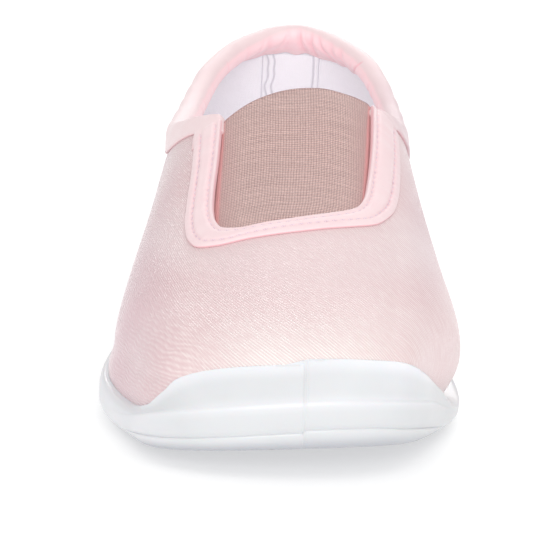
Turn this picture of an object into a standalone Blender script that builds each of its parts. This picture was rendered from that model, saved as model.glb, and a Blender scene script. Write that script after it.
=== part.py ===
"""A child's gymnastics slipper for the right foot, EU 28: a soft fabric upper with an elastic gore at the
instep, in a moulded rubber cup sole with a toe cap.

Toe at -Y, heel at +Y, and the medial side, where the big toe is, at +X. Z is up from the floor.
All the soft pieces follow one shape, the last, which last_point() gives. Sizes here are in millimetres.
"""

import math

import bmesh
import bpy
import numpy as np
from mathutils import Matrix, Vector

MM = 0.001  # a millimetre, in Blender's metres

# The last: what the upper is closed over
LAST_LENGTH = 185.0
TOE_ROUND = 0.40  # share of the length in which the outline closes to the toe
TOE_POWER = 2.7  # 2 would be an ellipse
HEEL_ROUND = 0.175
HEEL_POWER = 2.15
TOE_RISE = 0.14  # share of the length in which the toe box rises to its full height
RISE_POWER = 2.15
BOARD = 5.0  # floor to the underside of the insole
WIDEST = 11.0  # insole's underside to where a section is widest
TUCK = 2.0  # how far the side draws in below that
RIDGE_SHIFT = 3.5  # the ridge lies this far to the medial side
RIDGE_SHIFT_END = 0.3  # share of the length over which it comes to lie there
SPRING = 6.8  # how far the toe lifts off the floor
SPRING_END = 0.34  # share of the length where the sole comes down
SPRING_TWIST = 0.012  # share more of that for each millimetre to the medial side
HEEL_BULGE_HEIGHT = 24.0
HEEL_LEAN = 5.0  # how far the heel's top leans forward of its bulge
HEEL_LEAN_HEIGHT = 36.0  # over the bulge
HEEL_TUCK = 1.5
HEEL_START = 0.75  # share of the length where that leaning starts

# A row for each section. at: share of the length from the toe. half: half its width. centre: how far its
# middle lies to the medial side. bulge: how far that side swells over the sole. ridge: height of its top
# over the sole's underside. lateral, medial: power of its arch on each side, 2 for an ellipse and more for
# a squarer one.
SECTION_COLUMNS = ("at", "half", "centre", "bulge", "ridge", "lateral", "medial")
SECTIONS = (
    (0.00, 40.0, -0.6, 0.0, 22.0, 2.3, 2.3),
    (0.12, 35.3, -1.0, 0.6, 29.5, 2.2, 2.3),
    (0.24, 36.0, -1.0, 2.8, 41.5, 1.95, 2.0),
    (0.36, 34.4, 0.0, 1.1, 51.5, 2.3, 2.15),
    (0.48, 31.4, 0.0, 0.5, 63.0, 2.45, 2.45),
    (0.60, 28.6, -0.6, 1.4, 68.5, 2.6, 2.85),
    (0.74, 27.4, 1.0, 0.6, 68.0, 2.7, 2.7),
    (0.88, 25.8, 1.2, 0.0, 67.0, 2.7, 2.7),
    (1.00, 26.0, 0.6, 0.0, 66.0, 2.7, 2.7),
)

# Upper and insole
WALL = 1.5
GAP = 0.3  # between neighbours
CUP_GAP = 0.5  # between the upper and the cup of the sole, whose facets differ
INSOLE_THICK = 1.8
INSOLE_INSET = 3.0  # from the last

# Height over the floor of the upper's edge round the collar, on each side, from the instep to the back
COLLAR_COLUMNS = ("at", "lateral", "medial")
COLLAR = (
    (0.44, 59.0, 60.0),
    (0.48, 57.0, 60.6),
    (0.54, 52.8, 55.0),
    (0.62, 49.6, 50.4),
    (0.74, 50.0, 50.8),
    (0.88, 56.0, 57.6),
    (1.00, 61.5, 61.5),
)
SLIT_START = 0.3

# Throat, the opening that the gore fills. Its corners seen from above, as (X, share of the length).
THROAT_FRONT_LATERAL = (-14.4, 0.245)
THROAT_FRONT_MEDIAL = (15.4, 0.280)
THROAT_BACK_MEDIAL = (18.4, 0.485)
THROAT_BACK_LATERAL = (-15.6, 0.437)
THROAT_CORNER = 4.5  # radius
THROAT_REACH = 12.0  # of its cutters past its back corners
FACING_WIDTH = 6.3
FACING_THICK = 0.9
FACING_SPAN = (0.17, 0.52)  # shares of the length between which its sheet lies before it is cut
FACING_TURNS = (0.14, 0.86)  # the same round the upper
FACING_STEPS = (20, 24)
GORE_THICK = 1.0
GORE_TURN_IN = 5.0  # hidden edge, sewn under the upper
GORE_TURN_IN_END = (0.7, 0.9)  # shares of the gore's length between which that narrows to none
GORE_SINK = 0.9  # of the gore's face below the upper's
GORE_EASE = 6.0  # width over which it comes up to that
GORE_STEPS = 14

# Tape folded over the collar's edge
BINDING_OUTER_LEG = 7.6
BINDING_INNER_LEG = 7.0
BINDING_THICK = 0.8
BINDING_ROLL = 1.6  # height of the fold over the upper's edge
BINDING_LEG_SHARES = (0, 0.33, 0.67, 1)  # of the outer leg, where it has a row of points
BINDING_FOLD = (35, 65, 90, 115, 145)  # degrees round the fold, the same
BINDING_SLACK = 0.45  # inside the fold, to the upper

# Outsole: the outline of the last, let out by so much at each height over the underside, as (height, out)
BAND = (
    (0.0, 0.2),
    (0.6, 0.8),
    (1.8, 1.5),
    (3.2, 1.9),
    (3.5, 1.5),
    (4.0, 1.5),
    (4.4, 2.1),
    (6.6, 2.6),
    (8.9, 2.8),
    (9.8, 2.6),
)
BAND_GROOVE = 4.4  # height of the top of the groove round the band
RIM_THICK = 1.3
SHOULDER = 0.55  # share of the way from the band to the rim where the cap is creased
INSIDE_SHARES = (0.8, 0.55, 0.35, 0.15)  # of the rim's height, where the inside has a ring of points

# Height of the sole's rim over its underside on each side. Round the toe it rises to a cap.
RIM_COLUMNS = ("at", "lateral", "medial")
RIM = (
    (0.000, 17.1, 18.0),
    (0.025, 16.8, 17.8),
    (0.034, 14.4, 17.2),
    (0.047, 10.8, 16.5),
    (0.061, 9.1, 15.6),
    (0.085, 7.9, 14.3),
    (0.130, 7.2, 12.2),
    (0.180, 7.4, 9.5),
    (0.220, 8.8, 9.2),
    (0.270, 9.8, 9.8),
    (1.000, 9.8, 9.8),
)
ARCH_RISE = 1.2
ARCH_START = 0.46
ARCH_END = 0.72
ARCH_DEPTH = 3.0  # height over the underside up to which the band follows the arch
GROOVE_WIDTH = 1.6
GROOVE_DEPTH = 1.0
GROOVE_INSET = 7.0  # from the sole's edge
GROOVES = (0.20, 0.24, 0.28, 0.32, 0.40, 0.44, 0.76, 0.80, 0.84, 0.92, 0.96)  # shares of the length

# How finely the solids are faceted
LENGTH_STEPS = 46
ARCH_STEPS = 20
SOLE_STEPS = 38

SIDES = ("lateral", "medial")
CUTTER_REACH = 3.0  # past what is cut
CUTTER_BOTTOM = 20.0
CUTTER_TOP = 100.0


def read_table(rows, columns, name, at):
    """A table's column as a smooth curve through its rows, read at any share of the length."""
    knots = np.array([row[0] for row in rows])
    values = np.array([row[columns.index(name)] for row in rows])
    slopes = np.gradient(values, knots)
    at = np.clip(at, knots[0], knots[-1])
    row = np.clip(np.searchsorted(knots, at, side="right") - 1, 0, len(knots) - 2)
    span = knots[row + 1] - knots[row]
    t = (at - knots[row]) / span
    start = (1 + 2 * t) * (1 - t) ** 2 * values[row] + t * (1 - t) ** 2 * span * slopes[row]
    end = t**2 * (3 - 2 * t) * values[row + 1] - t**2 * (1 - t) * span * slopes[row + 1]
    return start + end


def section(name, at):
    return read_table(SECTIONS, SECTION_COLUMNS, name, at)


def smooth_step(t):
    t = np.clip(t, 0, 1)
    return t * t * (3 - 2 * t)


def rounded(share, power):
    """From 0 at a round end to 1 where the outline runs straight on."""
    return (1 - np.clip(1 - share, 0, 1) ** power) ** (1 / power)


def length_of(at):
    """Y of a share of the length."""
    return (at - 0.5) * LAST_LENGTH


def share_at(step):
    """Share of the length at a step from 0 to 1, the steps being closer together at toe and heel."""
    return (1 - np.cos(math.pi * step)) / 2


def step_at(at):
    return np.arccos(1 - 2 * at) / math.pi


STATIONS = share_at(np.linspace(0, 1, LENGTH_STEPS + 1))


def share_of(y):
    """The share of the length at this Y."""
    return y / LAST_LENGTH + 0.5


def lift(at, x):
    """How far the toe spring lifts the sole off the floor, the medial side more than the lateral one."""
    return SPRING * np.clip(1 - at / SPRING_END, 0, 1) ** 2 * (1 + SPRING_TWIST * x)


def arch(at):
    """How far the underside rises under the waist."""
    return ARCH_RISE * np.sin(math.pi * np.clip((at - ARCH_START) / (ARCH_END - ARCH_START), 0, 1)) ** 2


def closed_in(at):
    """From 0 at the ends of the outline to 1 between them."""
    return rounded(at / TOE_ROUND, TOE_POWER) * rounded((1 - at) / HEEL_ROUND, HEEL_POWER)


def heights(at):
    """Of the widest place and the ridge, over the sole's underside."""
    grown = rounded(at / TOE_RISE, RISE_POWER)
    return BOARD + WIDEST * grown, BOARD + (section("ridge", at) - BOARD) * grown


def ridge_x(at):
    return section("centre", at) + RIDGE_SHIFT * np.clip(at / RIDGE_SHIFT_END, 0, 1)


def sides_x(at):
    """X of the lateral and medial sides where they are widest."""
    centre, half = section("centre", at), section("half", at) * closed_in(at)
    return centre - half, centre + half + section("bulge", at) * closed_in(at)


def last_point(at, turn):
    """A point of the last. turn is 0 at the widest place of the lateral side and runs over the ridge to 1 on
    the medial side. From 0 to -1, and from 1 to 2, it runs down to the insole.
    """
    widest, ridge = heights(at)
    lateral, medial = sides_x(at)
    on_lateral = turn < 0.5
    top, full = ridge_x(at), np.where(on_lateral, section("lateral", at), section("medial", at))
    angle = math.pi * np.clip(turn, 0, 1)
    across = np.abs(np.cos(angle)) ** (2 / full)
    drop = np.clip(-turn, 0, 1) + np.clip(turn - 1, 0, 1)
    tuck = (TUCK + np.where(on_lateral, 0, section("bulge", at))) * closed_in(at) * drop**2
    x = np.where(on_lateral, top - (top - lateral) * across + tuck, top + (medial - top) * across - tuck)
    z = widest + (ridge - widest) * np.abs(np.sin(angle)) ** (2 / full) - (widest - BOARD) * drop
    lean = HEEL_LEAN * (np.clip(z - HEEL_BULGE_HEIGHT, 0, None) / HEEL_LEAN_HEIGHT) ** 2
    tuck_in = HEEL_TUCK * (np.clip(HEEL_BULGE_HEIGHT - z, 0, None) / HEEL_BULGE_HEIGHT) ** 2
    y = length_of(at) - smooth_step((at - HEEL_START) / (1 - HEEL_START)) * (lean + tuck_in)
    return np.stack(np.broadcast_arrays(x, y, z + lift(at, x)), -1)


def last_normal(at, turn):
    near = 2e-3
    step = np.clip(step_at(at), 2 * near, 1 - 2 * near)
    turn = np.clip(turn, near - 1, 2 - near)
    along = last_point(share_at(step + near), turn) - last_point(share_at(step - near), turn)
    around = last_point(share_at(step), turn + near) - last_point(share_at(step), turn - near)
    normal = np.cross(around, along)
    # Both sides meet at the heel, and all turns at the toe, and so do their normals there.
    normal = normal * np.stack(np.broadcast_arrays(closed_in(at) > 0, 1, at > 0), -1)
    return normal / np.linalg.norm(normal, axis=-1, keepdims=True)


def over_last(at, turn, out):
    """A point at this distance out from the last, or in from it where out is negative."""
    at, turn, out = np.broadcast_arrays(at, turn, out)
    return last_point(at, turn) + last_normal(at, turn) * out[..., None]


def turn_at_height(at, z, side):
    """turn of the point of one side that is at this height over the sole's underside."""
    widest, ridge = heights(at)
    up = np.clip((z - widest) / np.maximum(ridge - widest, 1e-6), 0, 1) ** (section(side, at) / 2)
    down = np.clip((widest - z) / np.maximum(widest - BOARD, 1e-6), 0, 1)
    turn = np.arcsin(up) / math.pi - down
    return 1 - turn if side == "medial" else turn


def turn_at_side(at, x):
    """turn of the point of the top that is at this X."""
    lateral, medial = sides_x(at)
    top = ridge_x(at)
    across = np.where(x < top, (top - x) / (top - lateral), (x - top) / (medial - top))
    full = np.where(x < top, section("lateral", at), section("medial", at))
    angle = np.arccos(np.clip(across, 0, 1) ** (full / 2))
    return np.where(x < top, angle, math.pi - angle) / math.pi


def turn_below(at, turn, distance):
    """turn of the points this far down their side from the points at turn."""
    found = []
    for place, start in zip(at, turn):
        turns = np.linspace(start, -1.0 if start < 0.5 else 2.0, 80)
        points = last_point(np.full(len(turns), place), turns)
        run = np.cumsum(np.linalg.norm(np.diff(points, axis=0), axis=1))
        found.append(np.interp(distance, np.concatenate([[0], run]), turns))
    return np.array(found)


def edge_turn(at, side):
    """turn at which one side of the upper ends: at the ridge, then along a slit in what the throat's cut
    takes away, and from there on along the collar.
    """
    collar = turn_at_height(at, read_table(COLLAR, COLLAR_COLUMNS, side, at), side)
    start = COLLAR[0][0]
    first = turn_at_height(start, read_table(COLLAR, COLLAR_COLUMNS, side, start), side)
    slit = 0.5 + (first - 0.5) * smooth_step((at - SLIT_START) / (start - SLIT_START))
    return np.where(at < start, slit, collar)


def collar_path():
    """Round the upper's edge from the throat's lateral end to its medial end, as at and turn."""
    at = STATIONS[STATIONS > COLLAR[0][0]]
    lateral, medial = (edge_turn(at, side) for side in SIDES)
    # Both sides have the same place at the back, where the first half ends.
    return np.concatenate([at, at[-2::-1]]), np.concatenate([lateral, medial[-2::-1]])


def ring_on_last(height, out):
    """A ring round the last, from the toe along the lateral side to the heel and back along the medial side.
    height gives its height over the sole's underside from at and the side's name.
    """
    low, high = 0.0, TOE_RISE
    for _ in range(40):
        middle = (low + high) / 2
        low, high = (middle, high) if heights(middle)[1] < height(middle, "lateral") else (low, middle)
    at = high + (1 - high) * share_at(np.linspace(0, 1, SOLE_STEPS + 1))
    lateral, medial = (
        over_last(at, turn_at_height(at, height(at, side), side), out) for side in SIDES
    )
    return np.concatenate([lateral, medial[-2:0:-1]])


def band_height(height, at, side):
    """Height over the underside of one of the band's rings. Over the groove it is less where the rim is low."""
    top = BAND[-1][0]
    squeeze = (np.minimum(top, rim_height(at, side)) - BAND_GROOVE) / (top - BAND_GROOVE)
    follow_arch = arch(at) * np.clip(1 - height / ARCH_DEPTH, 0, 1)
    return np.where(height > BAND_GROOVE, BAND_GROOVE + (height - BAND_GROOVE) * squeeze, height) + follow_arch


def ring_round_outline(height, out):
    """The same ring round the outline of the last, let out sideways."""
    at = share_at(np.linspace(0, 1, SOLE_STEPS + 1))
    centre, half = section("centre", at), section("half", at) * closed_in(at)
    lateral, medial = (
        np.stack([x, length_of(at), band_height(height, at, side)], 1)
        for x, side in ((centre - half, "lateral"), (centre + half, "medial"))
    )
    ring = np.concatenate([lateral, medial[-2:0:-1]])
    run = np.roll(ring, -1, 0) - np.roll(ring, 1, 0)
    outward = np.stack([-run[:, 1], run[:, 0], 0 * run[:, 0]], 1)
    ring[:, 2] += lift(share_of(ring[:, 1]), ring[:, 0])
    return ring + outward / np.linalg.norm(outward, axis=1)[:, None] * out


def level_on_last(height, out):
    """A ring round the last at one height over the underside, made level across."""
    ring = ring_on_last(lambda at, side: height, out)
    ring[:, 2] = lift(share_of(ring[:, 1]), ring[:, 0]) + height
    return ring


def rim_height(at, side):
    return read_table(RIM, RIM_COLUMNS, side, at)


# Making solids from these points


def new_object(name, skin, collection):
    mesh = bpy.data.meshes.new(name)
    skin.to_mesh(mesh)
    skin.free()
    mesh.shade_smooth()
    mesh.set_sharp_from_angle(angle=math.radians(40))
    obj = bpy.data.objects.new(name, mesh)
    collection.objects.link(obj)
    return obj


def fill_across(skin, ring):
    """Closes a ring with strips from its lateral side straight across to its medial side."""
    count = len(ring)
    for i in range(count // 2):
        corners = (ring[i], ring[i + 1], ring[count - i - 1], ring[(count - i) % count])
        skin.faces.new(list(dict.fromkeys(corners)))


def loft(*sheets, ends="open"):
    """A skin over sheets of rows of points in millimetres, joined where they meet. Unless it is open, each
    row closes on itself and the ends are closed with faces, or with strips across.
    """
    skin = bmesh.new()
    for rows in sheets:
        lines = [[skin.verts.new(point * MM) for point in row] for row in rows]
        count = len(lines[0])
        for line, following in zip(lines, lines[1:]):
            for i in range(count - 1 if ends == "open" else count):
                j = (i + 1) % count
                skin.faces.new((line[i], line[j], following[j], following[i]))
        for line in (lines[0], lines[-1]):
            if ends == "faces":
                skin.faces.new(line)
            elif ends == "strips":
                fill_across(skin, line)
    bmesh.ops.remove_doubles(skin, verts=skin.verts, dist=1e-6)
    bmesh.ops.recalc_face_normals(skin, faces=skin.faces)
    return skin


def prism(name, corners, low, high, collection):
    """An upright prism over corners seen from above."""
    corners = np.array(corners)
    rows = [np.column_stack([corners, np.full(len(corners), z)]) for z in (low, high)]
    return new_object(name, loft(rows, ends="faces"), collection)


def cut(obj, cutter, operation="DIFFERENCE"):
    boolean = obj.modifiers.new(cutter.name, "BOOLEAN")
    boolean.object = cutter
    boolean.operation = operation
    boolean.solver = "EXACT"


def fabric(name, sheets, thickness, collection):
    """A sheet over rows of points, thickened outwards by Solidify."""
    sheet = new_object(name, loft(*sheets), collection)
    if max(sheet.data.polygons, key=lambda face: face.center.z).normal.z < 0:
        sheet.data.flip_normals()
    solidify = sheet.modifiers.new("Thickness", "SOLIDIFY")
    solidify.thickness = thickness * MM
    solidify.offset = 1
    solidify.use_quality_normals = True
    return sheet


def rounded_corners(corners, radii, steps=5):
    """The outline through the corners, each rounded to its radius, or left as it is at 0."""
    outline = []
    for i, (corner, radius) in enumerate(zip(corners, radii)):
        back, ahead = corners[i - 1] - corner, corners[(i + 1) % len(corners)] - corner
        back, ahead = back / np.linalg.norm(back), ahead / np.linalg.norm(ahead)
        half = math.acos(back @ ahead) / 2
        middle = corner + (back + ahead) / np.linalg.norm(back + ahead) * radius / math.sin(half)
        for t in np.linspace(0, 1, steps if radius else 1):
            spoke = (corner + (back * (1 - t) + ahead * t) * radius / math.tan(half)) - middle
            length = np.linalg.norm(spoke)
            outline.append(middle + (spoke / length * radius if radius else spoke))
    return outline


def crossing(first, run, second, other):
    """Where two lines cross, each a point and a direction."""
    return first + run * np.linalg.solve(np.column_stack([run, -other]), second - first)[0]


def throat_outline(out, back_reach):
    """The throat seen from above, let out by this much and run on at the back by back_reach."""
    ends = (THROAT_BACK_LATERAL, THROAT_FRONT_LATERAL, THROAT_FRONT_MEDIAL, THROAT_BACK_MEDIAL)
    corners = [np.array([x, length_of(at)]) for x, at in ends]
    lines = []
    for first, second in zip(corners, corners[1:]):
        run = (second - first) / np.linalg.norm(second - first)
        lines.append((first + np.array([run[1], -run[0]]) * out, run))
    (lateral, down), (front, across), (medial, up) = lines
    outline = [
        lateral - down * back_reach,
        crossing(lateral, down, front, across),
        crossing(front, across, medial, up),
        medial + up * (np.linalg.norm(corners[3] - corners[2]) + back_reach),
    ]
    return rounded_corners(outline, [0, THROAT_CORNER, THROAT_CORNER, 0])


def collar_cutter(name, below, collection):
    """All that is over the collar's edge, or over a line this far down the upper from it."""
    at, turn = collar_path()
    turn = turn_below(at, turn, below)
    inner, outer = over_last(at, turn, -CUTTER_REACH), over_last(at, turn, CUTTER_REACH)
    high = outer * (1, 1, 0) + (0, 0, CUTTER_TOP)
    rows = []
    for lateral in range(len(at) // 2 + 1):
        medial = len(at) - 1 - lateral
        sides = (outer[lateral], high[lateral], high[medial], outer[medial], inner[medial], inner[lateral])
        rows.append(sides)
    return new_object(name, loft(rows, ends="faces"), collection)


# The sub-parts


def make_outsole(collection, cutters):
    """Rings from the underside's edge up the outside, over the rim and down the inside."""
    rings = [ring_round_outline(height, out) for height, out in BAND]
    rim = [ring_on_last(rim_height, out) for out in (CUP_GAP + RIM_THICK, CUP_GAP)]
    rings += [rings[-1] * (1 - SHOULDER) + rim[0] * SHOULDER, *rim]
    for share in INSIDE_SHARES:
        rings.append(
            ring_on_last(lambda at, side: BOARD + (rim_height(at, side) - BOARD) * share, CUP_GAP)
        )
    rings.append(level_on_last(BOARD, CUP_GAP) - (0, 0, GAP))
    outsole = new_object("outsole", loft(rings, ends="strips"), collection)
    cut(outsole, tread_cutter(cutters))
    return outsole


def tread_cutter(collection):
    """Bars across the forefoot and the heel that cut the tread's grooves."""
    bars = bmesh.new()
    for at in np.array(GROOVES):
        half = section("half", at) * closed_in(at) - GROOVE_INSET
        centre, near = section("centre", at), 0.01
        tilt = math.atan2(lift(at + near, centre) - lift(at - near, centre), 2 * near * LAST_LENGTH)
        place = Matrix.Translation(Vector((centre, length_of(at), lift(at, centre))) * MM)
        size = Matrix.Diagonal((2 * half * MM, GROOVE_WIDTH * MM, 2 * GROOVE_DEPTH * MM, 1))
        bmesh.ops.create_cube(bars, size=1, matrix=place @ Matrix.Rotation(tilt, 4, "X") @ size)
    return new_object("tread_grooves", bars, collection)


def make_insole(collection):
    """A flat footbed inside the upper, on the sole."""
    rings = [level_on_last(BOARD + over, -INSOLE_INSET) for over in (0.0, INSOLE_THICK)]
    return new_object("insole", loft(rings, ends="strips"), collection)


def make_upper(collection, throat):
    """One hollow of fabric, open below and round the collar, with the throat cut out for the gore."""
    sheets = []
    for side in SIDES:
        edge = edge_turn(STATIONS, side)
        up = np.linspace(0 * edge, edge if side == "lateral" else 1 - edge, ARCH_STEPS // 2 + 1, axis=1)
        below = np.broadcast_to([-1, -0.6, -0.25], (len(edge), 3))
        turn = np.concatenate([below, up], 1)
        sheets.append(over_last(STATIONS[:, None], turn if side == "lateral" else 1 - turn, -WALL))
    upper = fabric("upper", sheets, WALL, collection)
    cut(upper, throat)
    return upper


def make_throat_facing(collection, cutters, throat):
    """A U of tape on the upper round the throat, its ends against the collar binding."""
    at = np.linspace(*FACING_SPAN, FACING_STEPS[0])[:, None]
    turn = np.linspace(*FACING_TURNS, FACING_STEPS[1])[None, :]
    facing = fabric("throat_facing", [over_last(at, turn, GAP)], FACING_THICK, collection)
    outline = throat_outline(FACING_WIDTH, CUTTER_REACH)
    cut(facing, prism("facing_outline", outline, CUTTER_BOTTOM, CUTTER_TOP, cutters), "INTERSECT")
    cut(facing, throat)
    cut(facing, collar_cutter("below_binding", BINDING_OUTER_LEG + GAP, cutters))
    return facing


def make_collar_binding(collection, cutters):
    """A tape folded over the collar's edge and down both faces of the upper, from corner to corner."""
    at, turn = collar_path()
    outside, inside = BINDING_SLACK, -WALL - BINDING_SLACK
    outer, inner = outside + BINDING_THICK, inside - BINDING_THICK
    middle, reach = (outer + inner) / 2, (outer - inner) / 2
    # Round the tape's section, as (how far below the edge, distance out from the last)
    outer_leg = [BINDING_OUTER_LEG * share for share in BINDING_LEG_SHARES]
    inner_leg = [0.0, BINDING_INNER_LEG / 2, BINDING_INNER_LEG]
    fold = [(below, outer) for below in outer_leg[::-1]]
    for angle in np.radians(BINDING_FOLD):
        fold.append((-BINDING_ROLL * math.sin(angle), middle + reach * math.cos(angle)))
    fold += [(below, inner) for below in inner_leg]
    fold += [(below, inside) for below in (*inner_leg[::-1], -BINDING_SLACK)]
    fold += [(below, outside) for below in (-BINDING_SLACK, *outer_leg)]
    edge, normal = last_point(at, turn), last_normal(at, turn)
    up = edge - last_point(at, turn_below(at, turn, 1.0))
    up /= np.linalg.norm(up, axis=1)[:, None]
    columns = []
    for below, out in fold:
        if below > 0:
            columns.append(over_last(at, turn_below(at, turn, below), out))
        else:
            columns.append(edge + normal * out - up * below)
    binding = new_object("collar_binding", loft(np.stack(columns, 1), ends="faces"), collection)
    ends = throat_outline(GAP, THROAT_REACH)
    cut(binding, prism("binding_ends", ends, CUTTER_BOTTOM, CUTTER_TOP, cutters))
    return binding


def make_elastic_gore(collection):
    """A patch of woven elastic, its edges under the upper, that comes up a little in the throat."""
    steps = np.linspace(0, 1, GORE_STEPS)
    along, across = steps[:, None], steps[None, :]
    (lateral_back, lateral_back_at), (lateral, lateral_at) = THROAT_BACK_LATERAL, THROAT_FRONT_LATERAL
    (medial, medial_at), (medial_back, medial_back_at) = THROAT_FRONT_MEDIAL, THROAT_BACK_MEDIAL
    front = lateral_at + (medial_at - lateral_at) * across - GORE_TURN_IN / LAST_LENGTH
    back = lateral_back_at + (medial_back_at - lateral_back_at) * across
    at = front + (back - front) * along
    narrowing, none_left = GORE_TURN_IN_END
    turn_in = GORE_TURN_IN * (1 - smooth_step((along - narrowing) / (none_left - narrowing)))
    left = lateral + (lateral_back - lateral) * along - turn_in
    right = medial + (medial_back - medial) * along + turn_in
    x = left + (right - left) * across
    inside = np.minimum(np.minimum(x - left, right - x) - turn_in, (at - front) * LAST_LENGTH - GORE_TURN_IN)
    sink = WALL + GAP + (GORE_SINK - WALL - GAP) * smooth_step(inside / GORE_EASE)
    turn = turn_at_side(at, x)
    return fabric("elastic_gore", [over_last(at, turn, -sink - GORE_THICK)], GORE_THICK, collection)


def material(name, colour, roughness):
    made = bpy.data.materials.new(name)
    made.use_nodes = True
    shader = made.node_tree.nodes["Principled BSDF"]
    shader.inputs["Base Color"].default_value = (*colour, 1)
    shader.inputs["Roughness"].default_value = roughness
    shader.inputs["Metallic"].default_value = 0
    return made


def main():
    for obj in list(bpy.data.objects):
        bpy.data.objects.remove(obj)
    slipper = bpy.data.collections.new("gymnastics_slipper")
    cutters = bpy.data.collections.new("cutters")
    cutters.hide_render = True
    for collection in (slipper, cutters):
        bpy.context.scene.collection.children.link(collection)

    outline = throat_outline(0, THROAT_REACH)
    throat = prism("throat_opening", outline, CUTTER_BOTTOM, CUTTER_TOP, cutters)

    shell = bpy.data.objects.new("slipper", None)
    slipper.objects.link(shell)
    parts = (
        (make_outsole(slipper, cutters), material("white_rubber", (0.80, 0.80, 0.82), 0.35)),
        (make_insole(slipper), material("footbed_fabric", (0.78, 0.74, 0.76), 0.9)),
        (make_upper(slipper, throat), material("pink_twill", (0.80, 0.55, 0.57), 0.55)),
        (make_throat_facing(slipper, cutters, throat), material("pink_tape", (0.85, 0.62, 0.64), 0.7)),
        (make_collar_binding(slipper, cutters), material("pink_binding", (0.86, 0.64, 0.66), 0.7)),
        (make_elastic_gore(slipper), material("rose_elastic", (0.42, 0.27, 0.24), 0.85)),
    )
    for part, finish in parts:
        part.parent = shell
        part.data.materials.append(finish)
    for cutter in cutters.objects:
        cutter.hide_render = True
        cutter.display_type = "WIRE"


main()
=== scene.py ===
"""A child's slip-on gymnastics slipper for the right foot, as it is sewn and moulded: twill upper and lining,
elastic gore, throat facing, collar binding, footbed and cup sole, each in its own section.

Toe at -Y, heel at +Y, and the medial side, where the big toe is, at +X. Z is up from the floor. Sizes are in
millimetres, and MM brings them to metres where a mesh is made.
"""

import math

import bpy
import numpy as np
from mathutils import Matrix, Vector


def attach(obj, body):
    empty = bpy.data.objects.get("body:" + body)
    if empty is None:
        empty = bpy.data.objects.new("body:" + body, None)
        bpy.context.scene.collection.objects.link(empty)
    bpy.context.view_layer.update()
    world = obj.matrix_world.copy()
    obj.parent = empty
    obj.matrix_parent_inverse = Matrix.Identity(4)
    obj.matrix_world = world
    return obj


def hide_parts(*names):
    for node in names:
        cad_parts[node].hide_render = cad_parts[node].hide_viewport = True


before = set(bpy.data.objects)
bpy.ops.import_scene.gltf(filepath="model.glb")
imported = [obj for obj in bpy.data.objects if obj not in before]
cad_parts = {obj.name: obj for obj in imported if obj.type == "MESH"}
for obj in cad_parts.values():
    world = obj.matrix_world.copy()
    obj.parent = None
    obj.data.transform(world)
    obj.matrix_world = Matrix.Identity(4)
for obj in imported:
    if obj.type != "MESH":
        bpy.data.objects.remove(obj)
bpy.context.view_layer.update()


# ---- Upper ---------------------------------------------------------------------------------------------
# The vamp and both quarters are one panel of shiny cotton twill, cut on the bias of its ribs. It is pulled
# over a last and bonded into the sole, so all the soft pieces follow that last, which last_point() gives.

MM = 0.001
LAST_LENGTH = 185.0
TOE_ROUND = 0.40  # share of the length in which the outline closes to the toe
TOE_POWER = 2.7
HEEL_ROUND = 0.175
HEEL_POWER = 2.15
TOE_RISE = 0.14  # share of the length in which the toe box rises to its full height
RISE_POWER = 2.15
BOARD = 5.0  # floor to the underside of the footbed
WIDEST = 11.0  # footbed's underside to where a section is widest
TUCK = {"lateral": -0.3, "medial": 2.0}  # how far each side draws in from there to the footbed
LATERAL_FULL = 1.1  # how far the lateral side fills out on the way
RIDGE_SHIFT = 3.5
RIDGE_SHIFT_END = 0.3
SPRING = 6.8  # how far the toe lifts off the floor
SPRING_END = 0.34
SPRING_TWIST = 0.012
HEEL_BULGE_HEIGHT = 24.0
HEEL_LEAN = 5.0
HEEL_LEAN_HEIGHT = 36.0
HEEL_TUCK = 1.5
HEEL_START = 0.75

# A row for each section of the last: share of the length, half width, middle, swelling of the medial side,
# height of the ridge over the sole's underside, and how square its arch is on each side
SECTION_COLUMNS = ("at", "half", "centre", "bulge", "ridge", "lateral", "medial")
SECTIONS = (
    (0.00, 40.0, -0.6, 0.0, 22.0, 2.3, 2.3),
    (0.12, 35.3, -1.0, 1.2, 29.5, 2.2, 2.3),
    (0.24, 36.0, -1.0, 3.3, 41.5, 1.95, 2.0),
    (0.36, 34.4, 0.0, 1.1, 51.5, 2.3, 2.15),
    (0.48, 31.4, 0.0, 0.5, 63.0, 2.45, 2.45),
    (0.60, 28.6, -0.6, 1.4, 68.5, 2.6, 2.85),
    (0.74, 27.4, 1.0, 0.6, 68.0, 2.7, 2.7),
    (0.88, 25.8, 1.2, 0.0, 67.0, 2.7, 2.7),
    (1.00, 26.0, 0.6, 0.0, 66.0, 2.7, 2.7),
)

# Height over the floor of the upper's edge round the collar, on each side
COLLAR_COLUMNS = ("at", "lateral", "medial")
COLLAR = (
    (0.44, 59.0, 60.0),
    (0.48, 57.0, 60.6),
    (0.54, 52.8, 55.0),
    (0.62, 49.6, 50.4),
    (0.74, 50.0, 50.8),
    (0.88, 56.0, 57.6),
    (1.00, 61.5, 61.5),
)
SLIT_START = 0.3
SIDES = ("lateral", "medial")

TWILL_THICK = 0.8
WALL = 1.5  # twill and lining together


def read_table(rows, columns, name, at):
    """A table's column as a smooth curve through its rows, read at any share of the length."""
    knots = np.array([row[0] for row in rows])
    values = np.array([row[columns.index(name)] for row in rows])
    slopes = np.gradient(values, knots)
    at = np.clip(at, knots[0], knots[-1])
    row = np.clip(np.searchsorted(knots, at, side="right") - 1, 0, len(knots) - 2)
    span = knots[row + 1] - knots[row]
    t = (at - knots[row]) / span
    start = (1 + 2 * t) * (1 - t) ** 2 * values[row] + t * (1 - t) ** 2 * span * slopes[row]
    end = t**2 * (3 - 2 * t) * values[row + 1] - t**2 * (1 - t) * span * slopes[row + 1]
    return start + end


def section(name, at):
    return read_table(SECTIONS, SECTION_COLUMNS, name, at)


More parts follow.
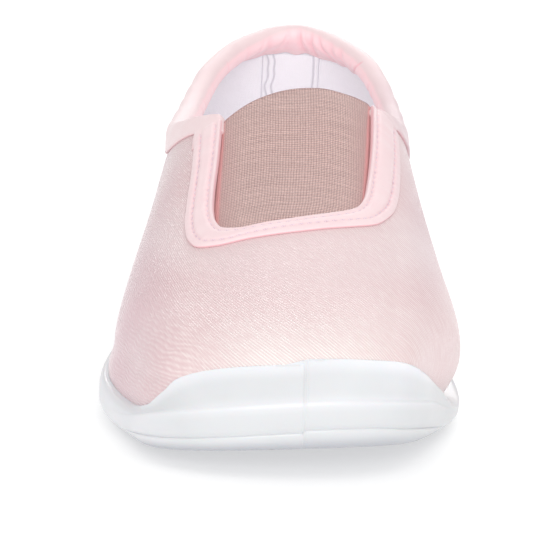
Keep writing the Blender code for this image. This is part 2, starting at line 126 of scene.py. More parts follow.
def smooth_step(t):
    t = np.clip(t, 0, 1)
    return t * t * (3 - 2 * t)


def ramp(value, start, end):
    """From 0 at start to 1 at end, smoothly."""
    return smooth_step((value - start) / (end - start))


def part_way(ends, share):
    """Between two ends, at a share of the way."""
    return ends[0] + (ends[1] - ends[0]) * share


def bump_at(distance, width):
    """A round bump, 1 where distance is 0."""
    return np.exp(-((distance / width) ** 2))


def rounded(share, power):
    """From 0 at a round end to 1 where the outline runs straight on."""
    return (1 - np.clip(1 - share, 0, 1) ** power) ** (1 / power)


def length_of(at):
    """Y of a share of the length."""
    return (at - 0.5) * LAST_LENGTH


def share_of(y):
    """The share of the length at this Y."""
    return y / LAST_LENGTH + 0.5


def share_at(step):
    """Share of the length at a step from 0 to 1, the steps being closer together at toe and heel."""
    return (1 - np.cos(math.pi * step)) / 2


def step_at(at):
    return np.arccos(1 - 2 * at) / math.pi


def lift(at, x):
    """How far the toe spring lifts the sole off the floor."""
    return SPRING * np.clip(1 - at / SPRING_END, 0, 1) ** 2 * (1 + SPRING_TWIST * x)


def closed_in(at):
    """From 0 at the ends of the outline to 1 between them."""
    return rounded(at / TOE_ROUND, TOE_POWER) * rounded((1 - at) / HEEL_ROUND, HEEL_POWER)


def heights(at):
    """Of the widest place and the ridge, over the sole's underside."""
    grown = rounded(at / TOE_RISE, RISE_POWER)
    return BOARD + WIDEST * grown, BOARD + (section("ridge", at) - BOARD) * grown


def ridge_x(at):
    return section("centre", at) + RIDGE_SHIFT * np.clip(at / RIDGE_SHIFT_END, 0, 1)


def sides_x(at):
    """X of the lateral and medial sides where they are widest."""
    centre, half = section("centre", at), section("half", at) * closed_in(at)
    return centre - half, centre + half + section("bulge", at) * closed_in(at)


def last_point(at, turn):
    """A point of the last. turn is 0 at the widest place of the lateral side and runs over the ridge to 1 on
    the medial side. From 0 to -1, and from 1 to 2, it runs down to the footbed.
    """
    widest, ridge = heights(at)
    lateral, medial = sides_x(at)
    on_lateral = turn < 0.5
    top, full = ridge_x(at), np.where(on_lateral, section("lateral", at), section("medial", at))
    angle = math.pi * np.clip(turn, 0, 1)
    across = np.abs(np.cos(angle)) ** (2 / full)
    drop = np.clip(-turn, 0, 1) + np.clip(turn - 1, 0, 1)
    draw_in = np.where(on_lateral, TUCK["lateral"], TUCK["medial"] + section("bulge", at)) * drop**2
    draw_in = draw_in - np.where(on_lateral, LATERAL_FULL * np.sin(math.pi * drop) ** 2, 0)
    tuck = draw_in * closed_in(at)
    x = np.where(on_lateral, top - (top - lateral) * across + tuck, top + (medial - top) * across - tuck)
    z = widest + (ridge - widest) * np.abs(np.sin(angle)) ** (2 / full) - (widest - BOARD) * drop
    lean = HEEL_LEAN * (np.clip(z - HEEL_BULGE_HEIGHT, 0, None) / HEEL_LEAN_HEIGHT) ** 2
    tuck_in = HEEL_TUCK * (np.clip(HEEL_BULGE_HEIGHT - z, 0, None) / HEEL_BULGE_HEIGHT) ** 2
    y = length_of(at) - ramp(at, HEEL_START, 1) * (lean + tuck_in)
    return np.stack(np.broadcast_arrays(x, y, z + lift(at, x)), -1)


def last_normal(at, turn):
    near = 2e-3
    step = np.clip(step_at(at), 2 * near, 1 - 2 * near)
    turn = np.clip(turn, near - 1, 2 - near)
    along = last_point(share_at(step + near), turn) - last_point(share_at(step - near), turn)
    around = last_point(share_at(step), turn + near) - last_point(share_at(step), turn - near)
    normal = np.cross(around, along)
    # Both sides meet at the heel, and all turns at the toe, and so do their normals there.
    normal = normal * np.stack(np.broadcast_arrays(closed_in(at) > 0, 1, at > 0), -1)
    return normal / np.linalg.norm(normal, axis=-1, keepdims=True)


def over_last(at, turn, out):
    """A point at this distance out from the last, or in from it where out is negative."""
    at, turn, out = np.broadcast_arrays(at, turn, out)
    return last_point(at, turn) + last_normal(at, turn) * out[..., None]


def turn_at_height(at, z, side):
    """turn of the point of one side that is at this height over the sole's underside."""
    widest, ridge = heights(at)
    up = np.clip((z - widest) / np.maximum(ridge - widest, 1e-6), 0, 1) ** (section(side, at) / 2)
    down = np.clip((widest - z) / np.maximum(widest - BOARD, 1e-6), 0, 1)
    turn = np.arcsin(up) / math.pi - down
    return 1 - turn if side == "medial" else turn


def turn_at_side(at, x):
    """turn of the point of the top that is at this X."""
    lateral, medial = sides_x(at)
    top = ridge_x(at)
    across = np.where(x < top, (top - x) / (top - lateral), (x - top) / (medial - top))
    full = np.where(x < top, section("lateral", at), section("medial", at))
    angle = np.arccos(np.clip(across, 0, 1) ** (full / 2))
    return np.where(x < top, angle, math.pi - angle) / math.pi


def edge_turn(at, side):
    """turn at which one side of the upper ends: at the ridge, along a slit where the throat is cut out, and
    from there on along the collar.
    """
    collar = turn_at_height(at, read_table(COLLAR, COLLAR_COLUMNS, side, at), side)
    start = COLLAR[0][0]
    first = turn_at_height(start, read_table(COLLAR, COLLAR_COLUMNS, side, start), side)
    slit = part_way((0.5, first), ramp(at, SLIT_START, start))
    return np.where(at < start, slit, collar)


ARC_STEPS = 240
ARC_TURNS = np.linspace(-1, 2, 3 * ARC_STEPS + 1)


def run_along(points):
    """How far along a line of points each one is. The line runs along the last axis but one."""
    steps = np.linalg.norm(np.diff(points, axis=-2), axis=-1)
    return np.concatenate([np.zeros((*steps.shape[:-1], 1)), np.cumsum(steps, -1)], -1)


def arc_table():
    """Round the last from its ridge, for each step along it and each turn, and along its ridge."""
    stations = share_at(np.linspace(0, 1, ARC_STEPS + 1))
    around = run_along(last_point(stations[:, None], ARC_TURNS[None, :]))
    around -= around[:, [np.searchsorted(ARC_TURNS, 0.5)]]
    return around, run_along(last_point(stations, np.full(len(stations), 0.5)))


ARCS_AROUND, ARCS_ALONG = arc_table()


def cloth_flat(at, turn):
    """Where a point of the last lies on the flat cloth: millimetres round it from the ridge, and along it."""
    step = step_at(at) * ARC_STEPS
    row = np.clip(step.astype(int), 0, ARC_STEPS - 1)
    place = (turn - ARC_TURNS[0]) / (ARC_TURNS[1] - ARC_TURNS[0])
    column = np.clip(place.astype(int), 0, len(ARC_TURNS) - 2)
    down, right = step - row, place - column
    first = ARCS_AROUND[row, column] * (1 - right) + ARCS_AROUND[row, column + 1] * right
    second = ARCS_AROUND[row + 1, column] * (1 - right) + ARCS_AROUND[row + 1, column + 1] * right
    along = ARCS_ALONG[row] * (1 - down) + ARCS_ALONG[row + 1] * down
    return first * (1 - down) + second * down, along


def only(obj):
    for other in bpy.context.selected_objects:
        other.select_set(False)
    obj.select_set(True)
    bpy.context.view_layer.objects.active = obj


def edit(obj, operator, **settings):
    """Runs a mesh operator on the whole of an object."""
    only(obj)
    bpy.ops.object.mode_set(mode="EDIT")
    bpy.ops.mesh.select_all(action="SELECT")
    operator(**settings)
    bpy.ops.object.mode_set(mode="OBJECT")


def bent_grid(name, points, flat):
    """A primitive grid with a row of vertices for each row of points, bent to lie on them. flat gives each
    vertex's place on the flat cloth, in millimetres, for the weave.
    """
    rows, columns = points.shape[:2]
    bpy.ops.mesh.primitive_grid_add(x_subdivisions=columns - 1, y_subdivisions=rows - 1, size=1)
    grid = bpy.context.active_object
    grid.name = grid.data.name = name
    mesh = grid.data
    mesh.vertices.foreach_set("co", (points.reshape(-1, 3) * MM).ravel())
    corner = np.empty(len(mesh.loops), int)
    mesh.loops.foreach_get("vertex_index", corner)
    weave = np.stack(flat, -1).reshape(-1, 2)[corner] * MM
    mesh.uv_layers[0].name = "cloth"
    mesh.uv_layers[0].data.foreach_set("uv", weave.ravel())
    mesh.update()
    return grid


def marked(obj, marks):
    """Keeps a number at each vertex of a grid, under these names, for its material to read."""
    for name, values in marks.items():
        layer = obj.data.attributes.new(name, "FLOAT", "POINT")
        layer.data.foreach_set("value", np.asarray(values, float).ravel())
    return obj


WELD = 0.02  # vertices this close together become one


def joined(objects):
    """Objects made one, welded where they meet."""
    only(objects[0])
    for obj in objects:
        obj.select_set(True)
    if len(objects) > 1:
        bpy.ops.object.join()
    edit(objects[0], bpy.ops.mesh.remove_doubles, threshold=WELD * MM)
    return objects[0]


def modify(obj, kind, **settings):
    """Applies a modifier."""
    only(obj)
    modifier = obj.modifiers.new(kind, kind)
    for setting, value in settings.items():
        setattr(modifier, setting, value)
    bpy.ops.object.modifier_apply(modifier=modifier.name)


def thicken(obj, thickness):
    """Gives a sheet its thickness, inwards from the face that shows."""
    modify(obj, "SOLIDIFY", thickness=thickness * MM, offset=-1, use_quality_normals=True)


def cut(obj, cutter):
    modify(obj, "BOOLEAN", object=cutter, operation="DIFFERENCE", solver="EXACT")


def facing_out(obj):
    edit(obj, bpy.ops.mesh.normals_make_consistent, inside=False)


def facing_up(sheet):
    """Turns a sheet's faces outwards, going by the highest of them."""
    if max(sheet.data.polygons, key=lambda face: face.center.z).normal.z < 0:
        sheet.data.flip_normals()


def smooth(obj, angle=40):
    only(obj)
    bpy.ops.object.shade_smooth_by_angle(angle=math.radians(angle))


# The throat's facing seen from above, from under the lateral end of the binding round the front to the medial
# one: a row for each place by its way along the facing, with X and Y of its inner edge and of its outer edge
FACING_COLUMNS = ("way", "inner_x", "inner_y", "outer_x", "outer_y")
FACING = (
    (0.0, -14.3, 3.0, -20.0, 3.0),
    (7.0, -14.5, -4.0, -20.2, -4.0),
    (23.0, -15.2, -20.0, -20.8, -20.0),
    (34.0, -15.9, -31.0, -21.6, -31.0),
    (41.0, -15.9, -37.2, -21.8, -38.2),
    (46.5, -15.2, -41.6, -21.0, -44.0),
    (51.0, -13.5, -44.8, -19.0, -48.0),
    (54.5, -10.4, -46.1, -15.6, -49.7),
    (61.0, -5.0, -45.7, -7.8, -49.9),
    (68.0, 0.5, -44.7, 0.6, -49.0),
    (75.0, 6.5, -42.7, 7.2, -47.1),
    (81.0, 11.3, -40.1, 13.7, -44.1),
    (86.5, 14.1, -37.4, 18.6, -40.2),
    (92.0, 15.6, -33.8, 21.5, -34.6),
    (101.5, 16.8, -25.8, 23.5, -25.3),
    (109.0, 17.5, -18.4, 24.0, -17.0),
    (124.5, 18.1, -2.5, 23.9, -2.5),
    (135.0, 18.3, 8.0, 24.0, 8.0),
)
CUTTER_LOW = 20.0
CUTTER_HIGH = 100.0
CUTTER_STEPS = 150


def facing_plan(way, share):
    """X and Y of a place of the facing: its way along, and its share of the width from the inner edge."""
    edges = [
        np.stack([read_table(FACING, FACING_COLUMNS, f"{edge}_{axis}", way) for axis in "xy"], -1)
        for edge in ("inner", "outer")
    ]
    return part_way(edges, np.asarray(share)[..., None])


def throat_block(share):
    """An upright block over the throat, let out to this share of the facing's width, to cut with."""
    outline = facing_plan(np.linspace(0, FACING[-1][0], CUTTER_STEPS), share)
    bpy.ops.mesh.primitive_circle_add(vertices=len(outline), radius=1, fill_type="NGON")
    block = bpy.context.active_object
    for vertex, (x, y) in zip(block.data.vertices, outline):
        vertex.co = Vector((x, y, CUTTER_LOW)) * MM
    upwards = {"value": (0, 0, (CUTTER_HIGH - CUTTER_LOW) * MM)}
    edit(block, bpy.ops.mesh.extrude_region_move, TRANSFORM_OT_translate=upwards)
    facing_out(block)
    return block


LENGTH_STEPS = 210
SIDE_STEPS = 64
BELOW_STEPS = 10


def shell(name, outside, thickness):
    """The whole upper as one thick sheet, its face at this distance out from the last."""
    at = share_at(np.linspace(0, 1, LENGTH_STEPS + 1))
    halves = []
    for side in SIDES:
        edge = edge_turn(at, side)
        up = np.linspace(0 * edge, edge if side == "lateral" else 1 - edge, SIDE_STEPS + 1, axis=1)
        below = np.broadcast_to(np.linspace(-1, 0, BELOW_STEPS + 1)[:-1], (len(at), BELOW_STEPS))
        turn = np.concatenate([below, up], 1)
        turn = turn if side == "lateral" else 1 - turn
        places = np.broadcast_to(at[:, None], turn.shape)
        points = over_last(places, turn, outside + creased(last_point(places, turn)))
        halves.append(bent_grid(name, points, cloth_flat(places, turn)))
    halves[1].data.flip_normals()
    sheet = joined(halves)
    facing_up(sheet)
    thicken(sheet, thickness)
    return sheet


# A row for each crease: its two ends, (X, Y, Z), how wide it is and how deep
CREASES = (
    ((33.0, -66.0, 22.0), (36.5, -52.0, 24.0), 1.4, 0.45),
    ((34.0, -63.0, 19.5), (37.0, -50.0, 20.5), 1.2, 0.4),
    ((34.5, -60.0, 16.8), (37.0, -48.0, 17.8), 1.2, 0.35),
    ((-26.5, -82.0, 18.0), (-29.5, -77.0, 14.5), 1.1, 0.45),
    ((-33.5, -68.0, 13.0), (-28.5, -79.5, 13.2), 0.7, 0.28),
    ((-34.0, -67.0, 14.9), (-28.0, -80.5, 15.4), 0.7, 0.28),
    ((-34.0, -67.0, 16.9), (-27.0, -81.5, 17.7), 0.8, 0.26),
    ((-34.0, -67.0, 19.2), (-26.0, -82.0, 20.4), 0.9, 0.2),
)


def creased(points):
    """How far out the creases leave the cloth at these points: inwards, so less than 0."""
    out = np.zeros(points.shape[:-1])
    for start, end, width, depth in CREASES:
        start, run = np.array(start), np.subtract(end, start)
        t = np.clip((points - start) @ run / (run @ run), 0, 1)
        away = np.linalg.norm(points - start - t[..., None] * run, axis=-1)
        out -= depth * bump_at(away, width) * (4 * t * (1 - t)) ** 0.5
    return out


def maths(operation):
    """A method of Wire that adds a Math node."""

    def method(self, *others):
        return self.finish.node("Math", {"operation": operation}, (self, *others))

    return method


class Wire:
    """A number that a material works out. Arithmetic on it adds the Math nodes."""

    def __init__(self, finish, socket):
        self.finish = finish
        self.socket = socket

    __add__ = __radd__ = maths("ADD")
    __mul__ = __rmul__ = maths("MULTIPLY")
    __sub__ = maths("SUBTRACT")
    sine, floor, size = maths("SINE"), maths("FLOOR"), maths("ABSOLUTE")
    most, least = maths("MINIMUM"), maths("MAXIMUM")

    def __rsub__(self, other):
        return self * -1 + other

    def between(self, low, high):
        """From 0 at low to 1 at high, smoothly. low may be the greater."""
        settings = {"interpolation_type": "SMOOTHSTEP"}
        return self.finish.node("MapRange", settings, {"Value": self, "From Min": low, "From Max": high})


class Finish:
    """A Principled material whose nodes come from one method."""

    def __init__(self, name, roughness, **sockets):
        self.material = bpy.data.materials.new(name)
        self.material.use_nodes = True
        self.tree = self.material.node_tree
        self.shader = self.tree.nodes["Principled BSDF"]
        self.shader.inputs["Roughness"].default_value = roughness
        for socket, value in sockets.items():
            self.shader.inputs[socket.replace("_", " ")].default_value = value

    def node(self, kind, settings=None, values=(), output=0):
        """A node with these settings, and these values or wires in its sockets, by name or in order."""
        made = self.tree.nodes.new("ShaderNode" + kind)
        for setting, value in (settings or {}).items():
            setattr(made, setting, value)
        named = values.items() if isinstance(values, dict) else enumerate(values)
        for socket, value in named:
            if isinstance(value, Wire):
                self.tree.links.new(value.socket, made.inputs[socket])
            else:
                made.inputs[socket].default_value = value
        return Wire(self, made.outputs[output])

    def point(self):
        return self.node("TexCoord", output=3)

    def textured(self, vector, scale, detail):
        return self.node("TexNoise", values={"Vector": vector, "Scale": scale, "Detail": detail})

    def parts(self, vector, count=3):
        """The first parts of a vector in metres, in millimetres."""
        outputs = self.node("SeparateXYZ", values=(vector,)).socket.node.outputs
        return [Wire(self, part) * (1 / MM) for part in outputs[:count]]

    def cloth(self):
        """Across and along the flat cloth."""
        return self.parts(self.node("UVMap", {"uv_map": "cloth"}), 2)

    def place(self):
        """X, Y and Z of the point."""
        return self.parts(self.point())

    def where(self, **spans):
        """1 where the point is past all of these spans of X, Y and Z, each given by its start and end."""
        place = dict(zip("xyz", self.place()))
        return math.prod(place[axis].between(*span) for axis, span in spans.items())

    def attribute(self, name):
        """A number that marked() left on the piece."""
        return self.node("Attribute", {"attribute_name": name}, output=2)

    def drawn(self, first, second, detail=1.5):
        """Noise with one patch to each unit of these two numbers."""
        return self.textured(self.node("CombineXYZ", values=(first, second)), 1.0, detail)

    def noise(self, scale, detail=2.0):
        """Cloudy noise, with patches of this many millimetres."""
        return self.textured(self.point(), 1 / (scale * MM), detail)

    def blend(self, factor, first, second):
        """A colour between two."""
        first, second = (colour if isinstance(colour, Wire) else (*colour, 1) for colour in (first, second))
        return self.node("Mix", {"data_type": "RGBA"}, {0: factor, 6: first, 7: second}, output=2)

    def use(self, socket, wire):
        self.tree.links.new(wire.socket, self.shader.inputs[socket])

    def bump(self, height, distance):
        """height, from 0 to 1, raises the surface by up to this many millimetres."""
        values = {"Strength": 1.0, "Distance": distance * MM, "Height": height}
        self.use("Normal", self.node("Bump", values=values))


WALE = 0.62  # from rib to rib
WALE_YARN = 0.5  # length of a float along its rib
FLOAT_SHIFT = 0.37  # from one rib's floats to the next one's, in floats
STREAK = 3.2  # length of a streak along a rib
DIAGONAL = 1 / math.sqrt(2)
LATERAL_PULL = 0.62  # how far lasting pulls the ribs level on the toe's lateral side
LATERAL_SPAN = (-5.0, -48.0)  # across the cloth
PULL_ENDS = (45.0, 60.0, 75.0)  # along the cloth, where the pull stops growing, a third of it at each
MEDIAL_PULL = 0.6  # and upright on the medial side, less and less towards the heel
MEDIAL_START = 22.0  # across the cloth
MEDIAL_FADE = (85.0, -10.0)  # Y
LEVEL_WALE = 0.8
LEVEL_RIBS = {"x": (-13.0, -24.0), "y": (-44.0, -58.0), "z": (32.0, 21.0)}  # where the ribs lie quite level
TWILL_LIGHT = (0.80, 0.62, 0.62)
TWILL_DEEP = (0.64, 0.415, 0.435)

# Painted light and shade on the twill: the tone, how much of it, and the spans of X, Y and Z over which it comes in
TWILL_LIGHT_AND_SHADE = (
    ((0.66, 0.43, 0.48), 0.8, {"x": (-18.0, -36.0)}),  # mauve painted shade, on the lateral side
    # painted light, low on the medial side
    (TWILL_LIGHT, 0.35, {"x": (8.0, 26.0), "z": (42.0, 28.0)}),
    ((0.58, 0.375, 0.42), 0.75, {"x": (22.0, 32.0), "z": (24.0, 42.0)}),  # painted shade, high on the medial side
    ((0.86, 0.78, 0.78), 0.3, {"y": (-20.0, -38.0), "z": (31.0, 37.0)}),  # pale painted light, under the front of the throat
)
TWILL_SHINE = (0.96, 0.93, 0.89)  # where the toe's stretched ribs catch the light
SHINE = {"y": (-50.0, -66.0), "z": (38.0, 20.0)}
SHINE_X = 2.889  # its middle
SHINE_SPAN = (31.11, 5.556)
SHINE_BESIDE = ((-14.0, -24.0), (-36.0, -28.0))  # a weaker patch of it on the lateral side, by X


def twill():
    """Fine ribs at 45 degrees to the cloth, from the lateral side down to the medial one. The light catches
    them in broken streaks, most of all where they are stretched over the toe.
    """
    finish = Finish("pink_twill", 0.40, Sheen_Weight=0.6, Sheen_Roughness=0.35, Specular_IOR_Level=0.7)
    across, along = finish.cloth()
    x, y, z = finish.place()
    upright = (across - MEDIAL_START).least(0.0) * y.between(*MEDIAL_FADE) * MEDIAL_PULL
    pulled = sum(along.most(end) for end in PULL_ENDS) * (1 / len(PULL_ENDS))
    diagonal = across - upright + along - across.between(*LATERAL_SPAN) * pulled * LATERAL_PULL
    diagonal = (diagonal + finish.noise(9.0) * 0.8) * DIAGONAL
    run = (across - along) * DIAGONAL
    level = finish.where(**LEVEL_RIBS)
    ribs = (diagonal * (math.tau / WALE)).sine() * (0.5 - level * 0.5) + 0.5
    ribs = ribs + ((z + finish.noise(7.0) * 2.0) * (math.tau / LEVEL_WALE)).sine() * level * 0.5
    shift = (diagonal * (1 / WALE)).floor() * FLOAT_SHIFT
    floats = ((run * (1 / WALE_YARN) + shift) * math.tau).sine() * 0.5 + 0.5
    streaks = finish.drawn(diagonal * (1 / WALE), run * (1 / STREAK)).between(0.3, 0.72)
    shade = ribs * (streaks * 0.4 + 0.25) + streaks * 0.2 + finish.noise(14.0) * 0.35
    colour = finish.blend(shade.most(1.0), TWILL_DEEP, TWILL_LIGHT)
    # painted light and shade, laid in by where the point is
    for painted_tone, much, spans in TWILL_LIGHT_AND_SHADE:
        colour = finish.blend(finish.where(**spans) * much, colour, painted_tone)
    beside = math.prod(x.between(*span) for span in SHINE_BESIDE)
    shine = finish.where(**SHINE) * ((x - SHINE_X).size().between(*SHINE_SPAN) + beside * 0.22)
    finish.use("Base Color", finish.blend(shine * (ribs * (streaks * 0.4 + 0.15) + 0.5), colour, TWILL_SHINE))
    finish.bump(ribs * (floats * 0.25 + 0.75) * (streaks * 0.5 + 0.5), 0.12)
    return finish.material


def dressed(obj, material, node):
    """Gives a piece its material, and its place in the frame."""
    obj.data.materials.clear()
    obj.data.materials.append(material)
    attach(obj, "root")
    if node:
        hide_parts(node)


CUT_BACK = 0.45  # of the twill's cut edge under the facing, as a share of the facing's width

throat_cutter = throat_block(CUT_BACK)
upper = shell("twill_upper", 0.0, TWILL_THICK)
cut(upper, throat_cutter)
smooth(upper)
dressed(upper, twill(), "upper")


# ---- Lining --------------------------------------------------------------------------------------------
# White cotton sewn inside the twill along the collar and the throat, and lasted in with it. A strip of the
# same cotton covers the seam up the back of the heel.

LINING_GAP = 0.05
LINING_WHITE = (0.97, 0.955, 0.985)
LINING_SHADE = (0.89, 0.87, 0.92)
LINING_SEAM_SHADE = (0.45, 0.43, 0.48)
THREAD_PITCH = 0.42
LINING_PAINTED_GLOW = 0.08  # painted light: a faint glow that brightens the lining and the footbed
STRIP_ENDS = (-5.0, 8.7)  # X of the heel strip's edges
STRIP_HEIGHTS = (7.5, 57.0)
STRIP_STEPS = (150, 130)
STRIP_THICK = 0.4
STRIP_CLEAR = 0.02  # of the lining
STRIP_FOLD = 0.4  # how round its folded edges are
STRIP_SEAMS = (-3.7, -2.2, 7.3)
STRIP_SEAM_WIDE = 0.24
STRIP_SEAM_DEEP = 0.28
STRIP_WAVE = 0.28  # of the seams on the left, and a quarter of it on the right
STRIP_SHADE = 0.6  # how much painted shade there is along its seams and edges
STRIP_SHADE_WIDE = 0.3
HEEL_FROM = 0.75  # share of the length from which the back of the heel is drawn
HEEL_STEPS = 300


def cotton():
    """Plain weave: threads over and under each other."""
    # painted light: the cotton glows faintly
    finish = Finish("lining_cotton", 0.85, Sheen_Weight=0.2, Emission_Strength=LINING_PAINTED_GLOW)
    finish.shader.inputs["Emission Color"].default_value = (1, 0.97, 1, 1)
    across, along = finish.cloth()
    warp = (across * (math.pi / THREAD_PITCH)).sine().size()
    weft = (along * (math.pi / THREAD_PITCH)).sine().size()
    height = (warp + weft) * 0.5
    shade = (height * 0.5 + finish.noise(9.0) * 0.6).most(1.0)
    colour = finish.blend(shade, LINING_SHADE, LINING_WHITE)
    # painted shade along the heel strip's seams and folded edges
    finish.use("Base Color", finish.blend(finish.attribute("seam"), colour, LINING_SEAM_SHADE))
    finish.bump(height, 0.06)
    return finish.material


def plateau(value, rise, fall):
    """1 between two slopes, each given by its start and end."""
    return ramp(value, *rise) * (1 - ramp(value, *fall))


def heel_line(height, across, out):
    """Points across the back of the heel at one height, at these X, this far out from the last."""
    at = share_at(np.linspace(step_at(HEEL_FROM), 1, HEEL_STEPS))
    lateral, medial = (over_last(at, turn_at_height(at, np.full(len(at), height), side), out) for side in SIDES)
    x, y, z = np.concatenate([lateral, medial[-2::-1]]).T
    return np.stack([across, np.interp(across, x, y), np.interp(across, x, z)], 1)


def heel_strip():
    """A folded strip up the inside of the heel. Its stitching draws it in along the seams, one of them wavy."""
    start, end = STRIP_ENDS
    depth = WALL + STRIP_CLEAR
    x = np.linspace(start, end, STRIP_STEPS[0])
    flat = plateau(x, (start, start + STRIP_FOLD), (end - STRIP_FOLD, end))
    edges = bump_at(x - start, STRIP_SHADE_WIDE) + bump_at(x - end, STRIP_SHADE_WIDE)
    rows, marks = [], []
    for height in np.linspace(*STRIP_HEIGHTS, STRIP_STEPS[1]):
        wave = STRIP_WAVE * (math.sin(height * 0.62) + 0.5 * math.sin(height * 1.37 + 1))
        seams = sum(bump_at(x - seam - wave * (1 if seam < 0 else 0.25), STRIP_SEAM_WIDE) for seam in STRIP_SEAMS)
        thick = STRIP_THICK * np.sqrt(flat) - STRIP_SEAM_DEEP * seams * flat
        on_last, inside = heel_line(height, x, 0.0), heel_line(height, x, -depth)
        rows.append(on_last + (inside - on_last) * (1 + thick / depth)[:, None])
        # painted shade along the seams and the folded edges
        marks.append(np.clip(STRIP_SHADE * (seams + edges), 0, 1))
    points = np.stack(rows)
    return marked(bent_grid("heel_strip", points, (points[..., 0], points[..., 2])), {"seam": np.stack(marks)})


lining = shell("cotton_lining", -TWILL_THICK - LINING_GAP, WALL - TWILL_THICK - LINING_GAP)
cut(lining, throat_cutter)
smooth(lining)
dressed(lining, cotton(), None)
strip = heel_strip()
smooth(strip, 60)
dressed(strip, lining.active_material, None)
bpy.data.objects.remove(throat_cutter)


# ---- Elastic gore --------------------------------------------------------------------------------------
# A patch of woven rose elastic that lets the throat stretch over the instep. Its sides and front are sewn
# under the upper, and its back edge is the elastic's own selvedge.

GORE_THICK = 1.0
GORE_SINK = 0.55  # of its middle below the twill's face
GORE_EASE = (2.4, 3.4)  # it comes up to that from this far outside the throat, over this distance
GORE_TURN_IN = 4.6  # under the facing and the lining
GORE_NARROWING = (0.62, 0.85)
GORE_LEFT_IN = 0.9
GORE_LATERAL = (-15.8, -14.7)  # X of the throat's lateral side at its front and back
GORE_MEDIAL = (15.6, 18.2)
GORE_FRONT = (-47.3, -39.6)  # Y of the throat's front at its lateral and medial corner
GORE_STEPS = (150, 170)
GAP = 0.3

# Y of the gore's free edge, by X
SELVEDGE_COLUMNS = ("x", "y")
SELVEDGE = (
    (-20.0, -10.5), (-15.1, -7.4), (-8.7, -3.7), (-4.4, -1.9), (0.0, -0.4),
    (6.6, 0.6), (12.0, 0.4), (18.3, 1.6), (20.0, 2.0),
)
SELVEDGE_ROLL = 0.9  # how wide its roll is
SELVEDGE_HIGH = 0.18
SELVEDGE_DOWN = 0.25  # how far its end turns down
GORE_SHADE_FADE = (0.1, 0.7)  # from its sides, over which the painted salmon shade fades
ELASTIC_PITCH = 0.6
ELASTIC_LIGHT = (0.83, 0.56, 0.515)
ELASTIC_DARK = (0.37, 0.215, 0.20)
ELASTIC_SIDE_SHADE = (0.50, 0.28, 0.27)
ELASTIC_SHADE_SIDES = (10.0, 17.0)  # how far from the middle the sides darken with painted shade
ELASTIC_MIDDLE = 1.0
ELASTIC_SALMON_SHADE = (0.86, 0.38, 0.37)
ELASTIC_EDGE = (0.33, 0.20, 0.20)


def elastic():
    """Warp cords covered in fine weft, beaded where they cross, paler threads among them. Painted shade darkens
    it towards its sides, and lies salmon along the sewn sides, with the facing's pink painted in as a
    reflection. The free edge is a dark close-woven selvedge.
    """
    finish = Finish("rose_elastic", 0.75, Sheen_Weight=0.35, Sheen_Roughness=0.5)
    across, along = finish.cloth()
    wander = finish.noise(3.0) * 0.5
    cord, pick = (
        (threads * (math.pi / ELASTIC_PITCH)).sine().size() for threads in (across + wander * 0.6, along + wander)
    )
    beads = (cord * 0.75 + 0.25) * pick
    rows = finish.drawn(across * 0.06, along * 1.7, 1.0)
    light = (beads * 0.75 + finish.noise(0.5, 1.0) * 0.5 + rows * 0.5 - 0.42).between(0.0, 1.0)
    # painted shade, darker towards the sides
    sides = (finish.place()[0] - ELASTIC_MIDDLE).size().between(*ELASTIC_SHADE_SIDES)
    free = finish.attribute("selvedge")
    colour = finish.blend(light, ELASTIC_DARK, ELASTIC_LIGHT)
    colour = finish.blend(sides * 0.6, colour, ELASTIC_SIDE_SHADE)
    # salmon painted shade, with the facing's pink painted in as a reflection, along the sewn sides
    colour = finish.blend(finish.attribute("beside_facing_shade") * 0.9, colour, ELASTIC_SALMON_SHADE)
    finish.use("Base Color", finish.blend(free * 0.8, colour, ELASTIC_EDGE))
    finish.bump(beads * (1 - free * 0.7), 0.2)
    return finish.material


def gore_points():
    """The gore's points, their places on the flat cloth, and its marks."""
    rows, columns = GORE_STEPS
    along, across = np.linspace(0, 1, rows)[:, None], np.linspace(0, 1, columns)[None, :]
    turn_in = part_way((GORE_TURN_IN, GORE_LEFT_IN), ramp(along, *GORE_NARROWING))
    left, right = part_way(GORE_LATERAL, along), part_way(GORE_MEDIAL, along)
    x = part_way((left - turn_in, right + turn_in), across)
    throat_front = part_way(GORE_FRONT, across)
    free = read_table(SELVEDGE, SELVEDGE_COLUMNS, "y", x)
    y = part_way((throat_front - GORE_TURN_IN, free), along)
    from_sides = np.minimum(x - left, right - x)
    inside = np.minimum(from_sides, y - throat_front)
    sink = part_way((WALL + GAP, GORE_SINK), smooth_step((inside + GORE_EASE[0]) / GORE_EASE[1]))
    roll = np.clip(1 - (free - y) / SELVEDGE_ROLL, 0, 1)
    sink = sink - SELVEDGE_HIGH * np.sin(math.pi * roll) + SELVEDGE_DOWN * smooth_step(roll * 2 - 1)
    at = share_of(y)
    turn = turn_at_side(at, x)
    marks = {"beside_facing_shade": 1 - ramp(from_sides, *GORE_SHADE_FADE), "selvedge": smooth_step(roll * 2.2)}
    return over_last(at, turn, -sink), cloth_flat(at, turn), marks


gore_place, gore_flat, gore_marks = gore_points()
gore = marked(bent_grid("gore_elastic", gore_place, gore_flat), gore_marks)
facing_up(gore)
thicken(gore, GORE_THICK)
smooth(gore)
dressed(gore, elastic(), "elastic_gore")


# ---- Throat facing -------------------------------------------------------------------------------------
# A U of smooth pink tape, folded in at both edges, that covers the cut edge of the throat. Two rows of
# stitches hold it, each in the trough that its thread pulls, and its ends run out over the binding's ends.

